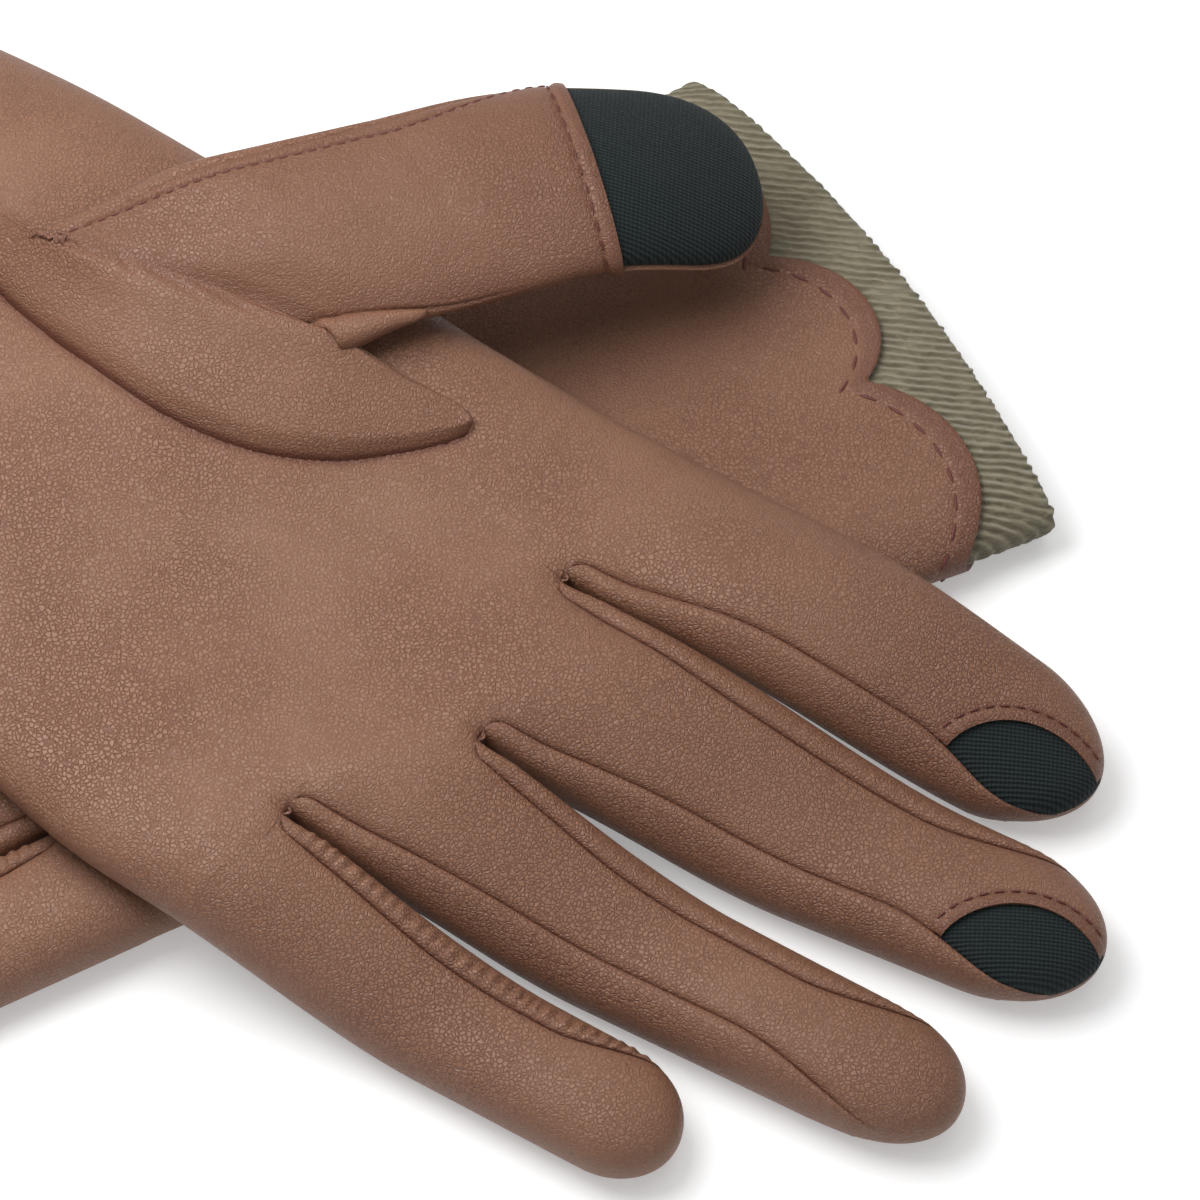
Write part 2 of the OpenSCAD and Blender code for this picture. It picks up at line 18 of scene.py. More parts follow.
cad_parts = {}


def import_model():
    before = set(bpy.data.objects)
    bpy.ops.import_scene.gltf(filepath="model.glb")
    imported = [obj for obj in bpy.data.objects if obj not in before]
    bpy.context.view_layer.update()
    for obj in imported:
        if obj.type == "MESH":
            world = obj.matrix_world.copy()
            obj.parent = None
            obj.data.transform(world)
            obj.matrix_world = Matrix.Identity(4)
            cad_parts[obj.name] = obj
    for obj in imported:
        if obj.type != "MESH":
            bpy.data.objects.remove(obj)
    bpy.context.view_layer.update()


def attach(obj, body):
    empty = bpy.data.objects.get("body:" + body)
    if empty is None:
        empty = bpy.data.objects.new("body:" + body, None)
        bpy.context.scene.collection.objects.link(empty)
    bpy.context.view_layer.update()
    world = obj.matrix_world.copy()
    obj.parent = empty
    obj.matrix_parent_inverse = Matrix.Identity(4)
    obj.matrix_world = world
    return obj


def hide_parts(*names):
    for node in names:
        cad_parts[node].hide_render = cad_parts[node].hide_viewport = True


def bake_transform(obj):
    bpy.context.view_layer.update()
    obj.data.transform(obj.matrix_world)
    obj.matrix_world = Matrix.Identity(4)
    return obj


LOG = logging.getLogger("gloves")
MM = 0.001
UP = Vector((0.0, 0.0, 1.0))
WHITE = (1.0, 1.0, 1.0, 1.0)

Point2 = Tuple[float, float]
Colour = Tuple[float, float, float]
Socket = Union[str, int]
Path = List[Tuple[Vector, Vector]]
Span = Callable[[float], Tuple[float, float]]


@dataclass(frozen=True)
class Spot:
    """A point of a surface with the painted shade that its finish darkens it by."""

    place: Vector
    # How far the leather is darkened to its painted shade colour, for shade in seams, folds, gaps and on
    # shaded sides.
    painted_shade: float = 0.0


Surface = Callable[[float, float], Spot]


def lerp(a: float, b: float, t: float) -> float:
    """Returns the value a share t of the way from a to b."""
    return a + (b - a) * t


def clamp01(t: float) -> float:
    """Returns t held between 0 and 1."""
    return max(0.0, min(1.0, t))


def smooth(a: float, b: float, x: float) -> float:
    """Returns a soft step from 0 at a to 1 at b."""
    t = clamp01((x - a) / (b - a))
    return t * t * (3 - 2 * t)


def signed_pow(v: float, p: float) -> float:
    """Returns v to the power p with its sign kept."""
    return math.copysign(abs(v) ** p, v)


def roll(q: float) -> float:
    """Returns how far a rolled edge still dips, from 1 at the seam to 0 at a full width away."""
    q = clamp01(q)
    return 1.0 - math.sqrt(1.0 - (1.0 - q) ** 2)


def bell(x: float, middle: float, width: float) -> float:
    """Returns a soft bump that is 1 at the middle and fades over a width."""
    return math.exp(-(((x - middle) / width) ** 2))


def round_end(q: float) -> float:
    """Returns the share of a tube's thickness that is left, from 1 at q = 0 to its closed end at 1."""
    return math.sqrt(max(0.0, 1 - clamp01(q) ** 2))


def upright(up: Vector, above: bool = True) -> Vector:
    """Returns a direction turned so that it points up, or down where above is False."""
    return up if (up.z > 0) == above else -up


def tube_point(middle: Vector, run: Vector, thick: float, turn: float, sunk: float) -> Vector:
    """Gives a point of a round tube.

    Args:
        middle: Point of the line that the tube follows.
        run: Direction of the line there, of length 1.
        thick: Half the tube's thickness.
        turn: Angle round the tube, in radians.
        sunk: Share of thick by which the tube lies below its line.

    Returns:
        The point.
    """
    side = run.cross(UP).normalized()
    over = side.cross(run)
    return middle - over * thick * sunk + side * (math.cos(turn) * thick) + over * (math.sin(turn) * thick)


def curve_point(points: Sequence[Point2], t: float) -> Point2:
    """Samples a smooth curve through points.

    Args:
        points: The points that the curve passes through.
        t: Place along the curve, from 0 to 1.

    Returns:
        The point of the curve at t.
    """
    n = len(points) - 1
    k = min(int(t * n), n - 1)
    s = t * n - k
    p1, p2 = points[k], points[k + 1]
    p0 = points[k - 1] if k > 0 else (2 * p1[0] - p2[0], 2 * p1[1] - p2[1])
    p3 = points[k + 2] if k + 2 <= n else (2 * p2[0] - p1[0], 2 * p2[1] - p1[1])
    out = []
    for i in (0, 1):
        a = 2 * p1[i]
        b = p2[i] - p0[i]
        c = 2 * p0[i] - 5 * p1[i] + 4 * p2[i] - p3[i]
        d = -p0[i] + 3 * p1[i] - 3 * p2[i] + p3[i]
        out.append(0.5 * (a + b * s + c * s * s + d * s**3))
    return out[0], out[1]


class Hand(Enum):
    """Which hand a glove fits, with the side of its thumb in the flat frame."""

    LEFT = 1
    RIGHT = -1


@dataclass(frozen=True)
class Finger:
    """One finger's cut: where it starts, where it ends and which of its sides have a strip."""

    name: str
    outer_root: float
    thumb_root: float
    root_y: float
    tip_y: float
    width: float
    reach: float
    taper: float
    thumb_strip: bool
    outer_strip: bool
    patched: bool = False
    pucker: float = 0.05
    tip_long: float = 1.1
    root_turn: float = 0.72

    @property
    def length(self) -> float:
        """Length of the finger from the middle of its root."""
        return self.reach - (self.outer_root + self.thumb_root) / 2

    def tip_round(self, u: float) -> float:
        """Returns the share of the finger's section that is left at u, where its tip rounds off."""
        turn = 1 - self.tip_long * self.width / 2 / self.length
        return 1.0 if u < turn else round_end((u - turn) / (1 - turn))

    def half_width(self, u: float) -> float:
        """Returns half the finger's width at u, before its tip rounds off."""
        return lerp(self.width, self.width - self.taper, u) / 2

    def root_x(self, v: float) -> float:
        """Returns where the finger starts, for a place v across it."""
        return lerp(self.outer_root, self.thumb_root, smooth(-self.root_turn, self.root_turn, v))


@dataclass(frozen=True)
class Cut:
    """Sizes of the pattern that both gloves are cut from."""

    palm_thumb_side: float = 57.6
    wrist_thumb_side: float = 55.5
    wrist_little_side: float = 28.5
    wrist_end: float = -52.0
    thumb_side_full: float = 18.0
    little_side_full: float = 48.0
    bend_from: float = 45.0
    bend_full: float = 5.0
    cuff_flare: float = 1.6
    flare_end: float = -58.0
    cuff_reach: float = 82.0
    cuff_short: float = 12.0
    short_from: float = -12.0
    hem_show: float = 6.0
    hand_thick: float = 11.0
    side_round: float = 12.0
    finger_gap: float = 0.8
    finger_thick: float = 11.6
    widths: Tuple[float, float, float, float] = (25.0, 24.6, 20.6, 17.2)
    tapers: Tuple[float, float, float, float] = (5.0, 4.6, 3.6, 0.8)
    reaches: Tuple[float, float, float, float] = (135.5, 147.5, 141.5, 112.5)
    drifts: Tuple[float, float, float, float] = (1.2, 4.0, -0.2, -1.9)
    roots: Tuple[float, float, float, float, float] = (68.0, 64.0, 66.0, 49.8, 46.0)
    puckers: Tuple[float, float, float, float] = (0.03, 0.05, 0.06, 0.24)
    finger_blend: float = 15.0
    tip_flat: float = 0.85
    strip_w: float = 4.3
    crotch_strip_w: float = 2.4
    strip_wide_at: float = 30.0
    strip_fade: Point2 = (0.80, 0.93)
    strip_narrow_from: float = 0.66
    crotch_drop: float = 0.14
    crotch_len: float = 9.0
    strip_bulge: float = 0.45
    strip_thick: float = 0.3
    groove: float = 0.6
    groove_w: float = 1.3
    leather: float = 0.9
    ply_gap: float = 0.25
    knit: float = 1.3
    thumb_angle: float = 46.0
    thumb_offset: float = 27.6
    thumb_w: float = 28.8
    thumb_taper: float = 1.2
    thumb_reach: float = 110.2
    thumb_tip_long: float = 1.05
    thumb_tip_powers: Point2 = (2.7, 2.2)
    thumb_root_at: float = 35.0
    thumb_blend: Point2 = (50.0, 64.0)
    thumb_patch_len: float = 23.0
    thumb_seat: float = 0.45
    thumb_seam_angle: float = 136.0
    thumb_seam_tip: float = 172.0
    strip_end: float = 0.955
    stall_from: float = 12.0
    stall_room: float = 0.7
    thumb_stall_from: float = 60.0
    thumb_stall_room: float = 0.5
    thumb_slit: Tuple[float, float] = (45.6, -11.8)
    thumb_tilt: float = 3.6
    thumb_slant: float = 1.38
    full_thumb: float = 10.6
    fold_middle: float = 3.6
    fold_slit: float = 2.6
    fold_outer: float = 5.6
    fold_dive: float = 5.0
    slit_seam_end: Point2 = (68.0, 8.0)
    patch_under: float = -8.0
    patch_len: float = 19.4
    patch_radius: float = 13.4
    patch_short: float = -1.2
    patch_sink: float = 0.45
    patch_lap: float = 0.9
    patch_stitch: float = 1.9
    thumb_stitch: float = 2.3
    hem_stitch: float = 3.7
    notches: Tuple[float, ...] = (0.0, 0.335, 0.61, 1.0)
    scallop_depth: float = 7.0
    side_power: float = 2.4
    top_power: float = 2.2

    def fingers(self) -> List[Finger]:
        """Returns the four fingers from the index to the little finger."""
        names = ("index", "middle", "ring", "little")
        out: List[Finger] = []
        edge = self.palm_thumb_side
        for k, name in enumerate(names):
            y = edge - self.widths[k] / 2
            edge -= self.widths[k] + self.finger_gap
            out.append(
                Finger(
                    name=name,
                    outer_root=self.roots[k + 1],
                    thumb_root=self.roots[k],
                    root_y=y,
                    tip_y=y + self.drifts[k],
                    width=self.widths[k],
                    reach=self.reaches[k],
                    taper=self.tapers[k],
                    thumb_strip=k > 0,
                    outer_strip=k < 3,
                    patched=k < 2,
                    pucker=self.puckers[k],
                )
            )
        return out

    @property
    def palm_little_side(self) -> float:
        """Distance of the palm's little finger edge from the hand line."""
        return sum(self.widths) + 3 * self.finger_gap - self.palm_thumb_side

    def cuff_rise(self, across: float) -> float:
        """Returns how much shorter the cuff is at a share across it, from the little finger's side."""
        y = lerp(-self.wrist_little_side, self.wrist_thumb_side, across)
        share = clamp01((y - self.short_from) / (self.wrist_thumb_side - self.short_from))
        return self.cuff_short * share**2

    def across_at(self, a: float) -> float:
        """Returns the place across a finger or the thumb, from -1 to 1, at an angle round it in degrees."""
        return signed_pow(math.cos(math.radians(a)), 2 / self.side_power)

    def side_flat(self, inset: float) -> float:
        """Returns the share of the hand's thickness that is left at a distance from its edge."""
        d = inset / self.side_round
        return 1.0 if d >= 1 else max(0.0, 1 - (1 - d) ** self.side_power) ** (1 / self.top_power)

    def seam_left(self, u: float) -> float:
        """Returns how much of a strip seam's groove is left at u, as it fades out before the tip."""
        return 1 - smooth(*self.strip_fade, u)

    @property
    def knit_outer(self) -> float:
        """Inset of the lining's outer face from the outside of the glove."""
        return self.leather + self.ply_gap

    @property
    def knit_inner(self) -> float:
        """Inset of the lining's inner face from the outside of the glove."""
        return self.knit_outer + self.knit


@dataclass(frozen=True)
class Wear:
    """Soft dents of worn leather and the fine wrinkles that run into the ends of the finger gaps."""

    broad_size: Point2 = (26.0, 18.0)
    broad_rise: float = 0.42
    small_size: Point2 = (11.0, 6.0)
    small_rise: float = 0.10
    ray_reach: float = 22.0
    ray_count: float = 15.0
    ray_rise: float = 0.035
    ray_middle: float = 6.0
    ray_spread: float = 5.0
    gap_dip: float = 0.25
    gap_fade: float = 3.0

    def dents(self, x: float, y: float, far: float) -> float:
        """Returns the leather's unevenness at a place, in the layer of the noise that far names."""
        broad = noise.noise(Vector((x / self.broad_size[0], y / self.broad_size[1], far)))
        small = noise.noise(Vector((x / self.small_size[0], y / self.small_size[1], far + 9.0)))
        return self.broad_rise * broad + self.small_rise * small

    def wrinkles(self, dx: float, dy: float, k: int) -> float:
        """Gives the height of the wrinkles round the end of a finger gap.

        Args:
            dx: Distance from the gap's end, towards the fingertips.
            dy: Distance from the gap's end, towards the thumb.
            k: Number of the gap.

        Returns:
            The height in millimetres.
        """
        far = math.hypot(dx, dy)
        if dx >= self.gap_fade or far >= self.ray_reach:
            return 0.0
        fade = 1 - smooth(0.0, self.gap_fade, dx)
        turn = math.atan2(dy, -dx)
        sway = 2.0 * noise.noise(Vector((far / 6.0, turn * 2.0, k * 7.0)))
        rays = math.cos(turn * self.ray_count + sway) * bell(far, self.ray_middle, self.ray_spread)
        return fade * (self.ray_rise * rays - self.gap_dip * bell(far, 0.0, self.ray_spread))


@dataclass(frozen=True)
class Hem:
    """Yarns of the lining's hem, and how far the lining runs on the outside and on the inside."""

    outer_len: float = 24.0
    inner_len: float = 128.0
    outer_rows: float = 0.6
    fold_rows: float = 0.1
    yarn_pitch: float = 1.15
    yarn_slant: float = 0.12
    yarn_rise: float = 0.17
    yarn_proud: float = 0.2
    lump_size: Point2 = (1.3, 0.8)
    lump_rise: float = 0.16
    sway: float = 0.30
    sway_size: float = 6.0
    shag: float = 0.5
    shag_count: float = 110.0

    def yarn(self, at: Vector, lean: float) -> float:
        """Returns the height of the wavy yarns at a place on the table, in the noise layer lean."""
        sway = self.sway * noise.noise(Vector((at.x / self.sway_size, at.y / self.sway_size, 5.0 + lean)))
        ridge = math.sin(2 * math.pi * ((at.y + self.yarn_slant * at.x) / self.yarn_pitch + sway))
        lump = noise.noise(Vector((at.x / self.lump_size[0], at.y / self.lump_size[1], 11.0)))
        return self.yarn_rise * ridge + self.lump_rise * lump


@dataclass(frozen=True)
class Stitch:
    """A sewn stitch: its distance to the next one, its length and its thickness, in metres."""

    pitch: float
    long: float
    thick: float


PATCH_STITCH = Stitch(0.0020, 0.0014, 0.00034)
CUFF_STITCH = Stitch(0.0040, 0.0026, 0.00052)
THUMB_PATCH_STITCH = Stitch(0.0024, 0.0024 * 0.66, 0.00032)
THUMB_SEAM_STITCH = Stitch(0.0019, 0.0019 * 0.66, 0.00032)


@dataclass(frozen=True)
class Lie:
    """How a glove lies: its direction, its place and the thickness of its thumb."""

    hand: Hand
    angle: float
    x: float
    y: float
    lifted: bool
    thumb_thick: float
    bend: float
    droop: float

    def spin(self) -> Tuple[float, float]:
        """Returns the cosine and sine of the glove's direction."""
        a = math.radians(self.angle)
        return math.cos(a), math.sin(a)


UPPER = Lie(Hand.LEFT, -29.0, -47.5, -18.5, True, 10.6, 0.14, 80.0)
LOWER = Lie(Hand.RIGHT, 206.0, -3.0, -17.0, False, 5.8, 0.0, 66.0)


@dataclass(frozen=True)
class Drape:
    """How the upper glove lies over the lower one, along and across the upper glove."""

    cut: Cut
    rest_gap: float = 0.5
    drape_len: float = 46.0
    cuff_sink: float = 9.0
    edge_room: float = 6.0
    thumb_slope: float = 25.0
    sink_span: Point2 = (-132.0, -72.0)

    def across(self, x: float, y: float) -> float:
        """Gives the place of a point of the upper glove over the lower one.

        Args:
            x: Place along the upper hand.
            y: Place across the upper hand.

        Returns:
            The distance from the lower hand's middle line, along the upper glove.
        """
        turn = math.radians(LOWER.angle - UPPER.angle)
        low = math.radians(LOWER.angle)
        mid = (self.cut.palm_thumb_side - self.cut.palm_little_side) / 2
        dx = LOWER.x + mid * math.sin(low) - UPPER.x
        dy = LOWER.y - mid * math.cos(low) - UPPER.y
        c, s = UPPER.spin()
        lx, ly = dx * c + dy * s, dy * c - dx * s
        return x - lx - (y - ly) / math.tan(turn)

    def lift(self, x: float, y: float) -> float:
        """Gives the height of the upper glove's drape.

        Args:
            x: Place along the upper hand.
            y: Place across the upper hand.

        Returns:
            How far the glove is raised there, in millimetres.
        """
        s = self.across(x, y)
        turn = math.radians(LOWER.angle - UPPER.angle)
        wide = self.cut.palm_thumb_side + self.cut.palm_little_side
        half = wide / 2 / abs(math.sin(turn)) - self.edge_room
        over = (self.cut.hand_thick + self.rest_gap) * (1 - smooth(half, half + self.drape_len, s))
        thumb = (LOWER.thumb_thick + self.rest_gap) * (1 - smooth(-self.thumb_slope, self.thumb_slope, s))
        return over + thumb - self.cuff_sink * (1 - smooth(*self.sink_span, s))


def rgba(colour: Colour, level: float = 1.0) -> Tuple[float, float, float, float]:
    """Returns a colour times a level, with full cover."""
    return colour[0] * level, colour[1] * level, colour[2] * level, 1.0


def wave_scale(pitch: float) -> float:
    """Returns the scale at which a band texture repeats over a pitch in metres."""
    return math.pi / 10.0 / pitch


class NodeSheet:
    """A node tree with short calls that add nodes and join them."""

    def __init__(self, tree: bpy.types.NodeTree) -> None:
        """Keeps the tree that nodes are added to."""
        self.tree = tree

    @staticmethod
    def new_material(name: str) -> Tuple[bpy.types.Material, "NodeSheet", bpy.types.Node]:
        """Makes a material and returns it with its sheet and its shader."""
        mat = bpy.data.materials.new(name)
        mat.use_nodes = True
        return mat, NodeSheet(mat.node_tree), mat.node_tree.nodes["Principled BSDF"]

    @staticmethod
    def fill(node: bpy.types.Node, values: Dict[Socket, object]) -> None:
        """Sets the values of a node's inputs, given by name or number."""
        for key, value in values.items():
            node.inputs[key].default_value = value

    def add(
        self, kind: str, values: Optional[Dict[Socket, object]] = None, **settings: object
    ) -> bpy.types.Node:
        """Adds a node.

        Args:
            kind: Kind of shader node.
            values: Values of its inputs, by name or number.
            **settings: Settings of the node itself.

        Returns:
            The new node.
        """
        node = self.tree.nodes.new(f"ShaderNode{kind}")
        for key, value in settings.items():
            setattr(node, key, value)
        self.fill(node, values or {})
        return node

    def join(self, *chain: Tuple[bpy.types.Node, Socket, bpy.types.Node, Socket]) -> None:
        """Links nodes.

        Args:
            *chain: A node, the name of its output, the node that it feeds and the input there.
        """
        for giver, out, taker, into in chain:
            self.tree.links.new(giver.outputs[out], taker.inputs[into])

    def weave(
        self, shader: bpy.types.Node, level: bpy.types.Node, colours: Tuple[Colour, Colour], depth: float
    ) -> None:
        """Raises a shader's surface by the level of its yarns and colours it by the same level, painting
        shade between the yarns and a lit colour on their tops.

        Args:
            shader: The shader that is dressed.
            level: The node whose result is 0 between the yarns and 1 on top of them.
            colours: The painted shade between the yarns and the lit colour on top of them.
            depth: Height of the yarns, in metres.
        """
        mix = self.add("Mix", {"A": rgba(colours[0]), "B": rgba(colours[1])}, data_type="RGBA")
        bump = self.add("Bump", {"Strength": 0.7, "Distance": depth})
        self.join(
            (level, "Result", mix, "Factor"),
            (mix, "Result", shader, "Base Color"),
            (level, "Result", bump, "Height"),
            (bump, "Normal", shader, "Normal"),
        )


class Finishes:
    """Builds the node materials once and hands them out by name."""

    def __init__(self) -> None:
        """Builds the shared grain and the materials."""
        self.leather = LeatherFinish().build(self._grain_group())
        self.touch = TouchFinish().build()
        self.knit = FuzzFinish().build()
        self.thread = ThreadFinish().build()

    @staticmethod
    def _grain_group() -> bpy.types.NodeTree:
        """Returns the node group of a leather grain, which puts out a height and a blotch mask."""
        tree = bpy.data.node_groups.new("leather_grain", "ShaderNodeTree")
        for name, way, kind in (
            ("Vector", "INPUT", "NodeSocketVector"),
            ("Pebble", "INPUT", "NodeSocketFloat"),
            ("Height", "OUTPUT", "NodeSocketFloat"),
            ("Blotch", "OUTPUT", "NodeSocketFloat"),
        ):
            tree.interface.new_socket(name, in_out=way, socket_type=kind)
        sheet = NodeSheet(tree)
        entry = tree.nodes.new("NodeGroupInput")
        leave = tree.nodes.new("NodeGroupOutput")
        wander = sheet.add("TexNoise", {"Scale": 900.0, "Detail": 2.0})
        shove = sheet.add("VectorMath", {1: (0.0005, 0.0005, 0.0005)}, operation="MULTIPLY_ADD")
        cells = sheet.add("TexVoronoi", feature="DISTANCE_TO_EDGE")
        valley = sheet.add(
            "MapRange", {"From Max": 0.20, "To Min": 1.0, "To Max": 0.0}, interpolation_type="SMOOTHSTEP"
        )
        worn = sheet.add("TexNoise", {"Scale": 38.0, "Detail": 2.0})
        where = sheet.add("MapRange", {"From Min": 0.35, "From Max": 0.65, "To Min": 0.45, "To Max": 1.0})
        deep = sheet.add("Math", operation="MULTIPLY")
        fine = sheet.add("TexNoise", {"Scale": 2600.0, "Detail": 3.0})
        mix = sheet.add("Math", {1: 0.30}, operation="MULTIPLY_ADD")
        flip = sheet.add("Math", {0: 1.0}, operation="SUBTRACT")
        blotch = sheet.add("TexNoise", {"Scale": 55.0, "Detail": 5.0})
        for texture in (wander, worn, fine, blotch):
            sheet.join((entry, "Vector", texture, "Vector"))
        sheet.join(
            (wander, "Color", shove, 0),
            (entry, "Vector", shove, 2),
            (shove, "Vector", cells, "Vector"),
            (entry, "Pebble", cells, "Scale"),
            (cells, "Distance", valley, "Value"),
            (worn, "Fac", where, "Value"),
            (valley, "Result", deep, 0),
            (where, "Result", deep, 1),
            (deep, "Value", flip, 1),
            (fine, "Fac", mix, 0),
            (flip, "Value", mix, 2),
            (mix, "Value", leave, "Height"),
            (blotch, "Fac", leave, "Blotch"),
        )
        return tree


@dataclass(frozen=True)
class LeatherFinish:
    """Soft brown glove leather with a fine pebbled grain, darker in its pores, and a darker, redder painted
    shade in seams, folds, finger gaps and on the thumb's shaded side.
    """

    colour: Colour = (0.251, 0.120, 0.069)
    # The dark colour is the painted shade that the mesh attribute asks for, and the colour of the grain's
    # deepest pores.
    dark: Colour = (0.105, 0.027, 0.016)
    tone_spread: float = 0.05
    pebble: float = 1700.0
    depth: float = 0.00028
    roughness: Tuple[float, float] = (0.40, 0.56)

    def build(self, grain: bpy.types.NodeTree) -> bpy.types.Material:
        """Makes the material.

        Args:
            grain: The shared leather grain group.

        Returns:
            The finished material.
        """
        mat, sheet, shader = NodeSheet.new_material("glove_leather")
        sheet.fill(shader, {"Specular IOR Level": 0.5})
        coord = sheet.add("TexCoord")
        group = sheet.add("Group", {"Pebble": self.pebble}, node_tree=grain)
        # Reads the painted shade that the pieces keep in a mesh attribute.
        painted_shade = sheet.add("Attribute", attribute_name="painted_shade")
        tones = {"A": rgba(self.colour, 1 - self.tone_spread), "B": rgba(self.colour, 1 + self.tone_spread)}
        tone = sheet.add("Mix", tones, data_type="RGBA")
        # Mixes in the dark colour by the larger of the grain's pores and the painted shade, so this mix
        # paints the shade as well as darkening the pores.
        worn = sheet.add("Mix", {"B": rgba(self.dark)}, data_type="RGBA")
        pores = sheet.add("MapRange", {"From Min": 0.2, "From Max": 1.0, "To Min": 0.50, "To Max": 0.0})
        deepest = sheet.add("Math", operation="MAXIMUM")
        rough = sheet.add("MapRange", {"To Min": self.roughness[0], "To Max": self.roughness[1]})
        bump = sheet.add("Bump", {"Strength": 0.55, "Distance": self.depth})
        sheet.join(
            (coord, "Object", group, "Vector"),
            (group, "Blotch", tone, "Factor"),
            (tone, "Result", worn, "A"),
            (group, "Height", pores, "Value"),
            (pores, "Result", deepest, 0),
            (painted_shade, "Fac", deepest, 1),
            (deepest, "Value", worn, "Factor"),
            (worn, "Result", shader, "Base Color"),
            (group, "Blotch", rough, "Value"),
            (rough, "Result", shader, "Roughness"),
            (group, "Height", bump, "Height"),
            (bump, "Normal", shader, "Normal"),
        )
        return mat


@dataclass(frozen=True)
class TouchFinish:
    """Fine dark knit that works a touchscreen, with rows of tiny loops."""

    # dark is painted shade between the rows of loops and light their lit tops; the weave mixes them by the
    # height of the loops.
    dark: Colour = (0.0070, 0.0110, 0.0118)
    light: Colour = (0.0260, 0.0360, 0.0370)
    row: float = 0.00050
    loop: float = 0.00056
    depth: float = 0.0003
    turned: float = 3.0

    def build(self) -> bpy.types.Material:
        """Makes the material and returns it."""
        mat, sheet, shader = NodeSheet.new_material("touch_fabric")
        sheet.fill(shader, {"Roughness": 0.85, "Specular IOR Level": 0.2, "Sheen Weight": 0.03})
        coord = sheet.add("TexCoord")
        turn = sheet.add("Mapping", {"Rotation": (0.0, 0.0, math.radians(self.turned))})
        sheet.join((coord, "Object", turn, "Vector"))
        waves = []
        for direction, pitch in (("Y", self.row), ("X", self.loop)):
            values = {"Scale": wave_scale(pitch), "Distortion": 0.9, "Detail": 2.0}
            wave = sheet.add("TexWave", values, wave_type="BANDS", bands_direction=direction)
            sheet.join((turn, "Vector", wave, "Vector"))
            waves.append(wave)
        both = sheet.add("Math", {1: 0.6}, operation="MULTIPLY_ADD")
        level = sheet.add("MapRange", {"From Min": 0.15, "From Max": 1.5})
        sheet.join((waves[1], "Fac", both, 0), (waves[0], "Fac", both, 2), (both, "Value", level, "Value"))
        sheet.weave(shader, level, (self.dark, self.light), self.depth)
        return mat


@dataclass(frozen=True)
class FuzzFinish:
    """Soft wool knit of wavy, uneven yarns with a fuzzy surface."""

    # dark is painted shade between the rows of yarn and light their lit tops; the fibre noise in the same
    # level also varies the tone at random.
    dark: Colour = (0.115, 0.098, 0.060)
    light: Colour = (0.300, 0.270, 0.190)
    pitch: float = 0.00115
    depth: float = 0.0006
    turned: float = 7.0

    def build(self) -> bpy.types.Material:
        """Makes the material and returns it."""
        mat, sheet, shader = NodeSheet.new_material("knit_lining")
        sheet.fill(
            shader,
            {"Roughness": 0.95, "Specular IOR Level": 0.15, "Sheen Weight": 0.25, "Sheen Roughness": 0.5},
        )
        coord = sheet.add("TexCoord")
        turn = sheet.add("Mapping", {"Rotation": (0.0, 0.0, math.radians(self.turned))})
        values = {"Scale": wave_scale(self.pitch), "Distortion": 3.2, "Detail": 3.0, "Detail Scale": 1.2}
        rows = sheet.add("TexWave", values, wave_type="BANDS", bands_direction="Y")
        squeeze = sheet.add("Mapping", {"Scale": (0.3, 1.0, 1.0)})
        fibres = sheet.add("TexNoise", {"Scale": 1.6 / self.pitch, "Detail": 5.0, "Roughness": 0.65})
        both = sheet.add("Math", {1: 0.45}, operation="MULTIPLY_ADD")
        level = sheet.add("MapRange", {"From Min": 0.25, "From Max": 1.05})
        sheet.join(
            (coord, "Object", turn, "Vector"),
            (turn, "Vector", rows, "Vector"),
            (turn, "Vector", squeeze, "Vector"),
            (squeeze, "Vector", fibres, "Vector"),
            (rows, "Fac", both, 0),
            (fibres, "Fac", both, 2),
            (both, "Value", level, "Value"),
        )
        sheet.weave(shader, level, (self.dark, self.light), self.depth)
        return mat


@dataclass(frozen=True)
class ThreadFinish:
    """Dark red-brown sewing thread with a slight twist."""

    colour: Colour = (0.125, 0.032, 0.024)
    twist: float = 2500.0
    tone_spread: float = 0.3

    def build(self) -> bpy.types.Material:
        """Makes the material and returns it."""
        mat, sheet, shader = NodeSheet.new_material("sewing_thread")
        sheet.fill(shader, {"Roughness": 0.6})
        coord = sheet.add("TexCoord")
        twist = sheet.add("TexNoise", {"Scale": self.twist})
        tones = {"A": rgba(self.colour, 1 - self.tone_spread), "B": rgba(self.colour, 1 + self.tone_spread)}
        mix = sheet.add("Mix", tones, data_type="RGBA")
        sheet.join(
            (coord, "Object", twist, "Vector"),
            (twist, "Fac", mix, "Factor"),
            (mix, "Result", shader, "Base Color"),
        )
        return mat


